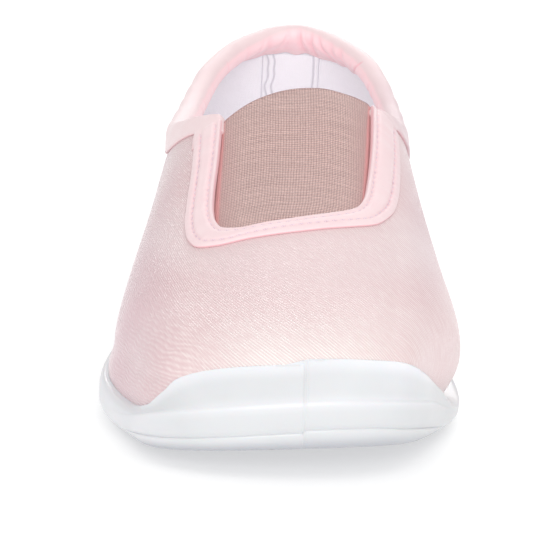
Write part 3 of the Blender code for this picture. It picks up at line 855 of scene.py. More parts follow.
FACING_LOW = -0.06
FACING_HIGH = 0.95
FACING_HIGH_OUT = 0.62  # at its outer edge
FACING_EDGE = 0.42  # how round its folded edges are
FACING_LIP = 0.75  # how far its inner fold reaches down to the gore
FACING_ENDS = (9.6, 127.6)
FACING_DIPS = ((9.4, 11.6), (125.6, 127.8))  # ways over which its ends go down into the binding
FACING_DIP = 0.25  # what is left of FACING_HIGH there
FACING_STEPS = 640
FACING_SECTION = (9, 40)  # points round each fold and across the top
FRONT_WAYS = ((40, 54), (84, 96))  # over which it turns into the front and out of it
FRONT_ROWS = 0.35  # how deep the stitch rows are round the front, as a share
ROW_IN = 1.3  # stitch rows, from the inner edge and from the outer one
ROW_OUT = 1.9
ROW_WIDTH = 0.42
ROW_DEPTH = 0.26
HOLE_DEPTH = 0.16
STITCH_PITCH = 1.9
DOME = 0.14  # between the rows
DOME_SLOPE = 1.2
HEM = 0.12  # outside them
HEM_IN = 0.85
HEM_WIDE = 0.5
RIPPLE = 0.06
FOLD_SHADE = 0.7  # painted shade: how rosy its folded edges are, and the rows
ROW_SHADE = (0.30, 0.42)
TAPE_RIB = 0.34
TAPE_LIGHT = (0.865, 0.70, 0.71)
TAPE_DEEP = (0.85, 0.61, 0.635)
TAPE_ROSE_SHADE = (0.86, 0.42, 0.47)
# painted light: the glow of what is marked as inner, and its strength
TAPE_PAINTED_GLOW_COLOUR = (1.0, 0.66, 0.70)
TAPE_GLOW = 0.2
TAPE_SIDE_SHADE = (0.62, 0.46, 0.50)  # painted shade on the medial side of the collar


def tape(name, light, deep):
    """A close satin tape. Painted shade makes it a little rosier in its troughs and along its hidden edges, and
    darker on the collar's medial side. What is marked as inner glows with painted light.
    """
    finish = Finish(name, 0.5, Sheen_Weight=0.35, Sheen_Roughness=0.4, Emission_Strength=TAPE_GLOW)
    # painted light: what is marked as inner glows
    finish.use("Emission Color", finish.blend(finish.attribute("inner"), (0, 0, 0), TAPE_PAINTED_GLOW_COLOUR))
    ribs = (finish.cloth()[1] * (math.tau / TAPE_RIB)).sine() * 0.5 + 0.5
    clouds = finish.noise(5.0)
    colour = finish.blend((ribs * 0.25 + clouds * 0.9).most(1.0), deep, light)
    # painted shade on the collar's medial side
    side = finish.where(x=(18.0, 30.0)) * (finish.where(y=(-8.0, 4.0)) * 0.45 + 0.4)
    colour = finish.blend(side, colour, TAPE_SIDE_SHADE)
    # painted shade, rosy in the troughs and along the hidden edges
    finish.use("Base Color", finish.blend(finish.attribute("rose_shade") * (clouds * 0.5 + 0.6), colour, TAPE_ROSE_SHADE))
    finish.bump(ribs * 0.5 + finish.noise(0.5) * 0.5, 0.035)
    return finish.material


def facing_at(way, share, out):
    x, y = np.moveaxis(facing_plan(way, share), -1, 0)
    at = share_of(y)
    return over_last(at, turn_at_side(at, x), out)


def facing_width(way):
    return np.linalg.norm(facing_at(way, 1.0, 0) - facing_at(way, 0.0, 0), axis=-1)


def row_share(way):
    """How deep the stitch rows lie, as a share."""
    return part_way((1, FRONT_ROWS), plateau(way, *FRONT_WAYS))


def closed(values, axis=1):
    """A ring's values with the first of them again at the end."""
    return np.append(values, np.take(values, [0], axis), axis)


def uneven_wave(run, rate, swing, slow):
    """A wave whose rate wanders slowly."""
    return np.sin(run * rate + swing * np.sin(run * slow))


def facing_grid():
    """The facing's points round each place of its way, their places on the flat cloth, and its marks."""
    way = np.linspace(*FACING_ENDS, FACING_STEPS)[:, None]
    width = facing_width(way)
    fold_points, top_points = FACING_SECTION
    fold = np.radians(np.linspace(-90, 90, fold_points))[None, :]
    top = np.linspace(0, 1, top_points)[None, 1:-1]
    bottom = top[:, ::-3]
    flat = 0 * way
    level = part_way((FACING_DIP, FACING_HIGH), plateau(way, *FACING_DIPS))
    thin = level * FACING_HIGH_OUT / FACING_HIGH
    inner_low = FACING_LOW - FACING_LIP
    span = width - 2 * FACING_EDGE
    distance = [
        flat + FACING_EDGE * (1 - np.cos(fold)),
        FACING_EDGE + span * top,
        width - FACING_EDGE * (1 - np.cos(fold)),
        FACING_EDGE + span * bottom,
    ]
    out = [
        (level + inner_low) / 2 + (level - inner_low) / 2 * np.sin(fold),
        thin + (level - thin) * smooth_step((1 - top) * span / ROW_OUT),
        (thin + FACING_LOW) / 2 - (thin - FACING_LOW) / 2 * np.sin(fold),
        FACING_LOW - FACING_LIP * (1 - bottom) ** 2 + flat,
    ]
    on_top = [fold > 0.5, 0 * top + 1, fold < -0.5, 0 * bottom]
    distance, out, on_top = (np.concatenate(ring, 1) for ring in (distance, out, on_top))
    rows = row_share(way)
    hole = 0.5 + 0.5 * np.cos(math.tau * way / STITCH_PITCH)
    inner_row, outer_row = bump_at(distance - ROW_IN, ROW_WIDTH), bump_at(width - distance - ROW_OUT, ROW_WIDTH)
    relief = -(inner_row + outer_row) * rows * (ROW_DEPTH + HOLE_DEPTH * hole)
    relief += DOME * plateau(
        distance, (ROW_IN, ROW_IN + DOME_SLOPE), (width - ROW_OUT - DOME_SLOPE, width - ROW_OUT)
    )
    relief += HEM * bump_at(width - distance - HEM_IN, HEM_WIDE) * (1 - 0.5 * hole * rows)
    relief += RIPPLE * uneven_wave(way, 1.3, 1.5, 0.37) * np.sin(math.pi * distance / width) * rows
    # painted shade: rosier in the stitch troughs and on the folds and the underside
    rose_shade = (inner_row * ROW_SHADE[0] + outer_row * ROW_SHADE[1]) * rows * (0.5 + 0.5 * hole) * on_top
    rose_shade += FOLD_SHADE * (1 - on_top)
    distance, out, rose_shade = (closed(values) for values in (distance, out + relief * on_top, rose_shade))
    return facing_at(way, distance / width, out), np.broadcast_arrays(distance, way), {"rose_shade": rose_shade}


def tube(name, points, flat, marks):
    """A tape with a closed section: a grid whose first column meets its last, filled at both ends."""
    made = joined([marked(bent_grid(name, points, flat), marks)])
    edit(made, bpy.ops.mesh.fill_holes, sides=0)
    facing_out(made)
    smooth(made, 60)
    return made


facing = tube("facing_tape", *facing_grid())
dressed(facing, tape("pink_tape", TAPE_LIGHT, TAPE_DEEP), "throat_facing")

# One stitch is a plump thread that dips into its holes. Each row is copies of it.
STITCH_LONG = 1.3
STITCH_THICK = 0.3
STITCH_BLUNT = 0.7
STITCH_DIP = 0.35
STITCH_SINK = 0.06
STITCH_STEPS = 900
THREAD = (0.88, 0.72, 0.78)
THREAD_SHADE = (0.66, 0.46, 0.55)


def one_stitch():
    bpy.ops.mesh.primitive_uv_sphere_add(segments=8, ring_count=8, radius=0.5)
    stitch = bpy.context.active_object
    stitch.data.uv_layers[0].name = "cloth"
    for vertex in stitch.data.vertices:
        x, y, z = vertex.co
        stretch = math.copysign(abs(2 * z) ** STITCH_BLUNT, z) / 2
        dip = STITCH_DIP * (2 * stretch) ** 4
        vertex.co = Vector((x * STITCH_THICK, stretch * STITCH_LONG, (y - dip) * STITCH_THICK)) * MM
    return stitch


def stitch_row(name, line, normal, stitch):
    """Copies of the stitch along a line of points, each lying in the face that has this normal there."""
    run = run_along(line)
    pieces = []
    for start in np.arange(STITCH_PITCH / 2, run[-1] - STITCH_PITCH / 2, STITCH_PITCH):
        middle, ahead, behind, up = (
            Vector([np.interp(start + shift, run, values[:, i]) for i in range(3)])
            for shift, values in ((0, line), (0.4, line), (-0.4, line), (0, normal))
        )
        along = (ahead - behind).normalized()
        side = along.cross(up).normalized()
        lie = Matrix((side, along, side.cross(along))).transposed().to_4x4()
        copy = stitch.copy()
        copy.data = stitch.data.copy()
        copy.data.transform(Matrix.Translation(middle * MM) @ lie)
        bpy.context.collection.objects.link(copy)
        pieces.append(copy)
    row = joined(pieces)
    row.name = row.data.name = name
    smooth(row, 80)
    return row


def thread():
    """Two plies twisted round each other."""
    finish = Finish("pink_thread", 0.45, Sheen_Weight=0.4)
    around, along = finish.cloth()
    twist = ((around * 2 + along * 5) * (MM * math.tau)).sine() * 0.5 + 0.5
    finish.use("Base Color", finish.blend(twist, THREAD_SHADE, THREAD))
    finish.bump(twist, 0.05)
    return finish.material


stitch = one_stitch()
thread_finish = thread()
row_ways = np.linspace(FACING_DIPS[0][1], FACING_DIPS[1][0], STITCH_STEPS)
row_widths = facing_width(row_ways)
sunk = FACING_HIGH - ROW_DEPTH * row_share(row_ways) - STITCH_SINK
for name, share in (("inner_stitches", ROW_IN / row_widths), ("outer_stitches", 1 - ROW_OUT / row_widths)):
    row_line = facing_at(row_ways, share, sunk)
    row_normal = facing_at(row_ways, share, sunk + 1) - row_line
    dressed(stitch_row(name, row_line, row_normal, stitch), thread_finish, None)
bpy.data.objects.remove(stitch)


# ---- Collar binding ------------------------------------------------------------------------------------
# A broad tape of the same cloth folded over a soft cord along the collar's edge, from one corner of the
# throat round the heel to the other. Its inner leg is gathered, and its ends meet in a seam by the heel.

BINDING_OUTER_LEG = 7.3
BINDING_INNER_LEG = 4.4
BINDING_THICK = 0.75
BINDING_LEAF = 0.38  # radius of its folded edges
BINDING_BACK = 0.02  # of its outer leg's back off the twill
BINDING_CLEAR = 0.05  # of its inner leg off the lining, and how far its outer fold sinks into the twill
OUTER_CUT = 1.3  # how much narrower the outer leg is towards its lateral end
OUTER_CUT_RUN = ((0, 9), (30, 60))
MEDIAL_CUT = 1.9  # and towards its medial one
MEDIAL_CUT_RUN = 14
MEDIAL_WAIST = 2.6  # and beside the throat there
MEDIAL_WAIST_RUN = ((2, 8), (16, 40))
END_TAPER = 4.5  # its ends thin out over this distance, under the facing
END_THIN = 0.2
BINDING_STEPS = 330
BINDING_SECTION = (8, 20, 22, 6)  # points round each fold, down each leg, over the roll and back along each side
BINDING_STARTS = (0.44, 0.487)  # shares of the length where it begins on the lateral side and the medial one
THROAT_SIDES = (-15.2, 18.8)  # X along which it starts, beside the throat
THROAT_SIDES_END = 0.6

# How far its roll stands over the edge of the upper, and swells outwards and inwards, on each side
ROLL_COLUMNS = ("at", "high_lateral", "high_medial", "out_lateral", "out_medial", "in_lateral", "in_medial")
ROLL = (
    (0.44, 0.7, 0.7, 0.05, 0.0, 0.2, 0.2),
    (0.50, 1.0, 0.9, 0.45, 0.1, 0.7, 0.4),
    (0.58, 1.8, 1.4, 1.1, 0.4, 1.2, 0.9),
    (0.74, 2.3, 2.0, 1.3, 0.5, 1.5, 1.3),
    (0.88, 2.5, 2.5, 1.1, 0.8, 1.5, 1.5),
    (1.00, 2.6, 2.6, 0.9, 0.9, 1.3, 1.3),
)

# A row for each gather of the inner leg: millimetres round from the heel's middle to the medial side, how
# wide, how deep, and how far it leans
GATHERS = (
    (-8.0, 1.1, 0.35, 0.3),
    (-3.0, 0.8, 0.3, -0.2),
    (2.5, 0.9, 0.7, 0.25),
    (6.5, 1.0, 0.75, -0.1),
    (10.5, 1.1, 0.7, 0.5),
    (15.0, 1.2, 0.55, 0.3),
    (20.0, 1.0, 0.35, 0.5),
)
SMALL_GATHERS = 46
SMALL_GATHER_DEEP = 0.22
SMALL_GATHER_ENDS = 6.0  # from the tape's ends to the first and last of them
GATHER_LIMIT = 0.9
SCALLOP = 0.35
SWELL_POWER = 1.6
JOIN_RUN = 26.5  # where the tape's ends meet, the same way round
JOIN_LEAN = -1.15
JOIN_WIDE = 0.32
JOIN_DEEP = 0.4
JOIN_LAP = 0.12  # how far the tape stands out beside the join
JOIN_LAP_BESIDE = 1.1
JOIN_LAP_WIDE = 0.8
ROLL_RIPPLE = 0.08
ROLL_RIPPLE_REACH = 6.0  # down the outer leg
BINDING_LIGHT = (0.87, 0.70, 0.705)
BINDING_DEEP = (0.82, 0.62, 0.64)


def turn_below(at, turn, distances):
    """turn of the points these distances down their side from the points at turn, a row for each of those."""
    ends = np.where(turn < 0.5, -1.0, 2.0)
    turns = np.linspace(turn, ends, 300, axis=1)
    run = run_along(last_point(at[:, None], turns))
    return np.array([np.interp(*row) for row in zip(distances, run, turns)])


def collar_path():
    """Round the upper's edge from the throat's lateral end to its medial end: at, turn and the ROLL there."""
    halves = []
    for side, start, x in zip(SIDES, BINDING_STARTS, THROAT_SIDES):
        at = share_at(np.linspace(step_at(start), 1, BINDING_STEPS + 1))
        turn = edge_turn(at, side)
        beside = np.where(at < THROAT_SIDES_END, turn_at_side(at, x), turn)
        turn = np.minimum(turn, beside) if side == "lateral" else np.maximum(turn, beside)
        rolls = [read_table(ROLL, ROLL_COLUMNS, f"{name}_{side}", at) for name in ("high", "out", "in")]
        halves.append(np.stack([at, turn, *rolls]))
    return np.concatenate([halves[0], halves[1][:, -2::-1]], 1)


def binding_grid():
    """The binding's points round each place of the collar, their places on the flat cloth, and its marks."""
    at, turn, *roll = collar_path()
    edge, normal = last_point(at, turn), last_normal(at, turn)
    run = run_along(edge)
    run = (run - run[BINDING_STEPS])[:, None]
    from_start, to_end = run - run[0, 0], run[-1, 0] - run
    high, swell_out, swell_in = (values[:, None] for values in roll)

    # Its section, from the outer leg's folded edge over the roll to the inner leg's, and back along the wall.
    # below is down its side from the upper's edge, and out is from the last.
    fold_points, leg_points, roll_points, back_points = BINDING_SECTION
    fold = np.radians(np.linspace(-90, 90, fold_points))[None, :]
    leg = np.linspace(0, 1, leg_points)[None, 1:]
    over = np.radians(np.linspace(0, 180, roll_points))[None, 1:-1]
    back = np.linspace(1, 0, back_points)[None, :]
    leaf, flat = BINDING_LEAF, 0 * run
    outer_leg = BINDING_OUTER_LEG - OUTER_CUT * plateau(from_start, *OUTER_CUT_RUN)
    outer_leg = outer_leg - MEDIAL_CUT * ramp(to_end, MEDIAL_CUT_RUN, 0)
    outer_leg = outer_leg - MEDIAL_WAIST * plateau(to_end, *MEDIAL_WAIST_RUN)
    inner_leg = BINDING_INNER_LEG + SCALLOP * uneven_wave(run, 0.9, 1.3, 0.31) * np.sin(run * 0.17 + 1)
    inside = -WALL - BINDING_CLEAR
    swell = np.sin(leg * math.pi / 2) ** SWELL_POWER
    outer_face = BINDING_THICK + swell_out * swell
    inner_face = inside - BINDING_THICK - swell_in * swell[:, ::-1]
    top_out, top_in = outer_face[:, -1:], inner_face[:, :1]
    middle, reach = (top_out + top_in) / 2, (top_out - top_in) / 2
    below = [
        outer_leg - leaf + leaf * np.cos(fold),
        (outer_leg - leaf) * (1 - leg),
        -high * np.sin(over),
        (inner_leg - leaf) * (1 - leg[:, ::-1]),
        inner_leg - leaf + leaf * np.cos(fold),
        (inner_leg - leaf) * back,
        (outer_leg - leaf) * back[:, ::-1],
    ]
    out = [
        leaf + leaf * np.sin(fold) - BINDING_CLEAR,
        outer_face,
        middle + reach * np.cos(over),
        inner_face,
        inside - leaf + leaf * np.sin(fold),
        inside + 0 * back,
        BINDING_BACK + 0 * back,
    ]
    below, out = (np.concatenate([values + flat for values in ring], 1) for ring in (below, out))
    thinned = part_way((END_THIN, 1), smooth_step(np.minimum(from_start, to_end) / END_TAPER))
    out = np.where(out > 0, out * thinned, out)
    visible = np.ones_like(below)
    visible[:, -2 * back.shape[1]:] = 0

    # The gathers press the inner leg in towards the wall, and fade over the roll.
    inward = np.clip((middle - out) / reach, 0, 1) * visible
    random = np.random.default_rng(11)
    gathers = list(GATHERS)
    for place in np.linspace(run[0, 0] + SMALL_GATHER_ENDS, run[-1, 0] - SMALL_GATHER_ENDS, SMALL_GATHERS):
        shift, wide, deep, lean = random.random(4)
        gathers.append((place + 4 * shift - 2, 0.5 + 0.6 * wide, SMALL_GATHER_DEEP * (0.4 + deep), lean - 0.5))
    pressed = sum(deep * bump_at(run - place - lean * below, wide) for place, wide, deep, lean in gathers)
    from_join = run - JOIN_RUN - JOIN_LEAN * below
    join = bump_at(from_join, JOIN_WIDE) * smooth_step(inward * 3)
    out = out + np.minimum(pressed, GATHER_LIMIT) * inward**1.5 * 0.9
    out = out + (JOIN_DEEP * join - JOIN_LAP * bump_at(from_join - JOIN_LAP_BESIDE, JOIN_LAP_WIDE)) * inward
    ripple = ROLL_RIPPLE * uneven_wave(run, 0.55, 2, 0.13) * np.clip(1 - below / ROLL_RIPPLE_REACH, 0, 1)
    out = out + ripple * (1 - inward) * visible

    under = turn_below(at, turn, np.concatenate([np.clip(below, 0, None), 1 + flat], 1))
    up = edge - last_point(at, under[:, -1])
    up /= np.linalg.norm(up, axis=1)[:, None]
    on_side = over_last(at[:, None], under[:, :-1], out)
    over_edge = edge[:, None] + normal[:, None] * out[..., None] - up[:, None] * below[..., None]
    points = closed(np.where(below[..., None] > 0, on_side, over_edge))
    ring = run_along(points).mean(0)
    # painted shade: rosier over the inner leg, in its gathers, at the join and along the outer leg's lower edge
    rose_shade = np.clip(smooth_step(inward * 2.4 - 0.7) * 0.30 + pressed * inward * 0.55 + join * 0.9, 0, 1)
    rose_shade += 0.5 * bump_at(below - outer_leg, 0.3) * (out < 0.3)
    # inner marks where the tape glows with painted light
    inner = smooth_step(inward * 2 - 0.6)
    return points, np.broadcast_arrays(ring[None, :], run), {"rose_shade": closed(rose_shade), "inner": closed(inner)}


binding = tube("binding_tape", *binding_grid())
dressed(binding, tape("pink_binding", BINDING_LIGHT, BINDING_DEEP), "collar_binding")


# ---- Footbed -------------------------------------------------------------------------------------------
# A flat insole covered in the lining's cotton, glued into the cup.

INSOLE_THICK = 1.8
INSOLE_INSET = 3.0
INSOLE_EDGE = 0.6  # how round its edge is
SOLE_STEPS = 120
LID_STEPS = 60
TIP_ACROSS = 0.3  # share of the half width over which a ring's steps are close
TIP_STEPS = 80
PARTING_X = 3.4  # of the mould's parting line down the toe
PARTING_SOFT = 0.5  # over how far a step at the parting line is spread
STEP_FADE = 0.05  # share of the length over which the cap's step fades


def sole_stations():
    """Shares of the length round one side of a ring, close together across the toe's tip."""
    across = np.linspace(0, TIP_ACROSS, TIP_STEPS + 1)
    tip = TOE_ROUND * (1 - (1 - across**TOE_POWER) ** (1 / TOE_POWER))
    return np.concatenate([tip, share_at(np.linspace(step_at(tip[-1]), 1, SOLE_STEPS + 1))[1:]])


def past_parting(x, soft):
    """1 on the medial side of the mould's parting line."""
    return smooth_step((x - PARTING_X) / soft + 0.5)


def both_sides(halves):
    """A ring from its lateral half and its medial one, which both run from the toe to the heel."""
    return np.concatenate([halves[0], halves[1][-2:0:-1]])


def ring_on_last(height, out, step=0.0):
    """A ring round the last, from the toe along the lateral side to the heel and back along the medial side.
    height gives its height over the sole's underside from at and the side's name. step carries the medial
    side further up the toe from the parting line on, by this share of the length.
    """
    low, high = 0.0, TOE_RISE
    for _ in range(40):
        middle = (low + high) / 2
        low, high = (middle, high) if heights(middle)[1] < height(middle, "lateral") else (low, middle)
    stations = high + (1 - high) * sole_stations()
    halves = []
    for side in SIDES:
        at, turn = stations, turn_at_height(stations, height(stations, side), side)
        if step and side == "medial":
            x = last_point(at, turn)[:, 0]
            push = step * past_parting(x, PARTING_SOFT) * (1 - smooth_step((at - high) / STEP_FADE))
            turn = np.where(push > 0, turn_at_side(at + push, x), turn)
            at = at + push
        halves.append(over_last(at, turn, out))
    return both_sides(halves)


def level_on_last(height, out):
    """A ring round the last at one height over the underside, made level across."""
    ring = ring_on_last(lambda at, side: height, out)
    ring[:, 2] = lift(share_of(ring[:, 1]), ring[:, 0]) + height
    return ring


def lid(name, ring):
    """A sheet over a ring, in rows straight across it from its toe to its heel."""
    half = len(ring) // 2
    lateral, medial = ring[: half + 1], np.concatenate([ring[:1], ring[: half - 1 : -1]])
    points = part_way((lateral[:, None], medial[:, None]), np.linspace(0, 1, LID_STEPS + 1)[None, :, None])
    return bent_grid(name, points, (points[..., 0], points[..., 1]))


def wall(name, rings):
    """A skin over closed rings."""
    points = np.stack([closed(ring, 0) for ring in rings])
    run, rise = run_along(points[0]), run_along(np.moveaxis(points, 0, 1)).mean(0)
    return bent_grid(name, points, np.broadcast_arrays(run[None, :], rise[:, None]))


insole_rings = [level_on_last(BOARD, -INSOLE_INSET)]
for angle in np.linspace(0, math.pi / 2, 7):
    up, out = INSOLE_THICK - INSOLE_EDGE * (1 - math.sin(angle)), -INSOLE_EDGE * (1 - math.cos(angle))
    insole_rings.append(level_on_last(BOARD + up, out - INSOLE_INSET))
insole = joined(
    [wall("footbed", insole_rings), lid("insole_top", insole_rings[-1]), lid("insole_under", insole_rings[0])]
)
facing_out(insole)
smooth(insole)
dressed(insole, cotton(), "insole")


# ---- Outsole -------------------------------------------------------------------------------------------
# One moulding of white rubber: the tread, the band round it with a groove, and the cup whose rim rises to a
# cap over the toe.

CUP_GAP = 0.03
RIM_THICK = 0.7
RIM_PROFILE = ((0.0, 1.0), (0.38, 0.62), (0.6, 0.0))  # how far over its edge, and its share of the thickness

# The band's profile: its level, 0 at the underside, 1 in the groove and 2 on the shoulder, and how far it
# stands out from the last's outline
BAND = (
    (0.0, -0.5), (0.07, 0.15), (0.2, 0.8), (0.38, 1.35), (0.6, 1.75), (0.8, 1.98), (0.9, 2.03), (0.96, 1.95),
    (1.0, 1.72), (1.03, 1.78), (1.08, 1.98), (1.2, 2.25), (1.42, 2.6), (1.65, 2.86), (1.82, 2.98), (1.91, 3.0),
    (1.97, 2.86), (2.0, 2.6),
)

# Heights of the band over the sole's underside, on each side. The outline opens from 0 at the toe's tip to 1
# along the sides.
BAND_COLUMNS = (
    "opened", "groove_lateral", "groove_medial", "shoulder_lateral", "shoulder_medial",
    "under_lateral", "under_medial",
)
BAND_HEIGHTS = (
    (0.00, 3.35, 3.35, 10.0, 10.0, -0.5, -0.5),
    (0.27, 3.15, 3.35, 9.7, 9.9, -0.35, -0.7),
    (0.45, 2.9, 3.4, 9.1, 9.6, -0.25, -0.75),
    (0.62, 2.6, 3.0, 8.0, 9.2, -0.3, -0.65),
    (0.78, 2.1, 2.7, 6.1, 8.6, -0.45, -0.35),
    (0.86, 1.6, 2.3, 5.1, 7.7, -0.4, -0.1),
    (0.93, 0.9, 1.6, 4.8, 5.8, -0.15, 0.0),
    (0.97, 0.4, 0.8, 5.6, 4.4, 0.0, 0.0),
    (1.00, 0.3, 0.3, 7.2, 4.4, 0.0, 0.0),
)
GROOVE_STEP = 0.55  # how much higher the groove runs on the medial side of the parting line
GROOVE_STEP_SOFT = 0.4
GROOVE_FADE = (0.84, 0.99)  # how far the outline has opened where it grows shallow
GROOVE_FILL = 0.3
LEAN_IN = {"lateral": (0.7, 0.95), "medial": (0.84, 0.98)}  # and where the band under it starts to lean
ROLL_IN = {"lateral": (0.45, 0.75), "medial": (0.72, 0.93)}  # and where the shoulder turns to a roll

# Height of the cup's rim over the sole's underside, on each side
RIM_COLUMNS = ("at", "lateral", "medial")
RIM = (
    (0.000, 16.5, 16.5),
    (0.026, 16.5, 16.5),
    (0.027, 16.5, 16.5),
    (0.0295, 16.0, 16.4),
    (0.032, 15.3, 16.1),
    (0.037, 14.0, 15.85),
    (0.047, 11.5, 15.6),
    (0.057, 9.7, 15.25),
    (0.080, 8.2, 14.5),
    (0.108, 7.4, 13.3),
    (0.145, 7.3, 11.3),
    (0.180, 7.7, 9.5),
    (0.216, 8.5, 7.6),
    (0.270, 9.4, 5.6),
    (0.340, 9.8, 5.8),
    (0.450, 9.8, 8.6),
    (0.560, 9.8, 9.8),
    (1.000, 9.8, 9.8),
)
SIDE_HIGHLIGHT = {"lateral": 1.3, "medial": 0.0}  # how much of the ridge's painted highlight the sides have
LIP_HIGHLIGHT = 1.4  # and the cap's edge
CAP_SIDE_HIGHLIGHT = 0.8  # and its medial end
RIM_STEP = 0.0042  # of the cap's edge at the parting line, as a share of the length
CAP_STEPS = 18
CAP_HOLLOW = 0.85  # how much of the rim's rounding the roll takes up
HIGHLIGHT_FADE = (0.7, 0.98)  # shares of the length over which the painted highlight ends at the heel
HIGHLIGHT_LEVEL = 1.95  # of the ridge's painted highlight, which is this wide
HIGHLIGHT_WIDE = 0.16
LIP_LEVELS = (2.6, 2.98)  # over which the cap's edge grows pale with painted highlight
CAP_SIDE_X = (14.0, 26.0)  # and its medial end
CAP_SIDE_LEVELS = (1.6, 2.6)
CUP_RINGS = (0.8, 0.6, 0.4, 0.2)  # down the inside of the cup, as shares of the rim's height
SIDE_OUT = {"lateral": 3.0, "medial": 3.4}
SIDE_LEAN = 3.0
ARCH_RISE = 1.2
ARCH_START = 0.46
ARCH_END = 0.72
ARCH_DEPTH = 3.0
PARTING_HIGH = 0.16
PARTING_WIDE = 0.22
PARTING_TROUGH = 0.07  # on each side of it
PARTING_APART = 0.5
PARTING_WAY = (0, -0.8, 0.5)  # in which it stands out
PARTING_END = -60.0
TREAD = (0.20, 0.24, 0.28, 0.32, 0.40, 0.44, 0.76, 0.80, 0.84, 0.92, 0.96)  # shares of the length
TREAD_WIDTH = 1.6
TREAD_DEPTH = 1.0
TREAD_INSET = 7.0
RUBBER_WHITE = (0.66, 0.67, 0.685)
# painted highlight
RUBBER_HIGHLIGHT = (0.86, 0.86, 0.90)
# painted shade towards the floor, and a random grey
RUBBER_GREY_AND_SHADE = (0.47, 0.48, 0.515)


def arch(at):
    """How far the underside rises under the waist."""
    return ARCH_RISE * np.sin(math.pi * np.clip((at - ARCH_START) / (ARCH_END - ARCH_START), 0, 1)) ** 2


def rim_height(at, side):
    return read_table(RIM, RIM_COLUMNS, side, at)


def outline_opened(at):
    """From 0 at the toe's tip to 1 along the sides and round the heel."""
    return np.where(at < TOE_ROUND, closed_in(at), 1)


def on_sides(at, span):
    """From 0 at the toe to 1 on the sides, as the outline opens over this span."""
    return ramp(outline_opened(at), *span)


def outline_x(at):
    """X of the sole's outline on each side."""
    centre, half = section("centre", at), section("half", at) * closed_in(at)
    return {"lateral": centre - half, "medial": centre + half}


def band_height(level, at, side):
    """Height over the underside of one of the band's rings."""
    opened = outline_opened(at)
    groove, shoulder, under = (
        read_table(BAND_HEIGHTS, BAND_COLUMNS, f"{name}_{side}", opened) for name in ("groove", "shoulder", "under")
    )
    if side == "medial":
        past = past_parting(outline_x(at)[side], GROOVE_STEP_SOFT)
        groove = groove + GROOVE_STEP * past * (1 - smooth_step(opened))
    height = under + (groove - under) * level if level < 1 else groove + (shoulder - groove) * (level - 1)
    return height + arch(at) * np.clip(1 - height / ARCH_DEPTH, 0, 1)


def ring_round_outline(level, out):
    """One of the band's rings round the outline of the last, this far out. Along the sides, where the shoulder
    is a roll, the band leans in steadily from it to the floor.
    """
    at = sole_stations()
    sides = []
    for side, x in outline_x(at).items():
        height = band_height(level, at, side)
        risen = np.clip(height / band_height(2.0, at, side), 0, 1)
        leaning = SIDE_OUT[side] - (SIDE_OUT[side] - BAND[0][1]) * (1 - risen) ** SIDE_LEAN
        leans = on_sides(at, LEAN_IN[side])
        fill = on_sides(at, GROOVE_FADE) * (1 - leans) * GROOVE_FILL * bump_at(level - 1, 0.06)
        sides.append(np.stack([x, length_of(at), height, out + leans * (leaning - out) + fill], 1))
    ring = both_sides(sides)
    run = np.roll(ring, -1, 0) - np.roll(ring, 1, 0)
    outward = np.stack([-run[:, 1], run[:, 0], 0 * run[:, 0]], 1)
    ring[:, 2] += lift(share_of(ring[:, 1]), ring[:, 0])
    return ring[:, :3] + outward / np.linalg.norm(outward, axis=1)[:, None] * ring[:, 3:]


def parted(ring):
    """The ring with the mould's parting line on it, a fine ridge between two hairline troughs."""
    away = ring[:, 0] - PARTING_X
    ridge = PARTING_HIGH * bump_at(away, PARTING_WIDE)
    trough = PARTING_TROUGH * (bump_at(away - PARTING_APART, 0.2) + bump_at(away + PARTING_APART, 0.2))
    return ring + ((ridge - trough) * (ring[:, 1] < PARTING_END))[:, None] * np.array(PARTING_WAY)


def rubber():
    """Soft white moulding, satin from the mould. Painted highlights make it paler along its shoulder, the cap's
    edge and the lateral side, and painted shade greys it towards the floor.
    """
    finish = Finish("white_rubber", 0.34, Coat_Weight=0.2, Coat_Roughness=0.22, Subsurface_Weight=0.08)
    finish.shader.inputs["Subsurface Scale"].default_value = 2 * MM
    level = finish.attribute("level")
    clouds = finish.noise(9.0, 3.0)
    finish.use("Roughness", clouds * 0.14 + finish.noise(0.8) * 0.08 + 0.25)
    # painted highlight, where the ridge mark says
    colour = finish.blend((finish.attribute("ridge") * 0.35).most(1.0), RUBBER_WHITE, RUBBER_HIGHLIGHT)
    # painted shade: greyer towards the underside; the clouds after it add a random grey
    colour = finish.blend(level.between(0.85, 0.05), colour, RUBBER_GREY_AND_SHADE)
    colour = finish.blend(clouds.between(0.35, 0.8) * 0.08, colour, RUBBER_GREY_AND_SHADE)
    finish.use("Base Color", colour)
    finish.bump(finish.noise(0.35, 3.0), 0.012)
    return finish.material


def tread_bars():
    """Bars across the forefoot and the heel that cut the tread's grooves."""
    bars = []
    near = 0.01
    for at in np.array(TREAD):
        half, centre = section("half", at) * closed_in(at) - TREAD_INSET, section("centre", at)
        tilt = math.atan2(lift(at + near, centre) - lift(at - near, centre), 2 * near * LAST_LENGTH)
        place = Matrix.Translation(Vector((centre, length_of(at), lift(at, centre))) * MM)
        size = Matrix.Diagonal((2 * half * MM, TREAD_WIDTH * MM, 2 * TREAD_DEPTH * MM, 1))
        bpy.ops.mesh.primitive_cube_add(size=1)
        bpy.context.active_object.data.transform(place @ Matrix.Rotation(tilt, 4, "X") @ size)
        bars.append(bpy.context.active_object)
    return joined(bars)


def rim_ring(over, thick):
    """A ring round the cup's rim, this far over its edge and at this share of its thickness."""
    return ring_on_last(
        lambda at, side: rim_height(at, side) + over * (1 - CAP_HOLLOW * on_sides(at, ROLL_IN[side])),
        CUP_GAP + RIM_THICK * thick,
        RIM_STEP,
    )


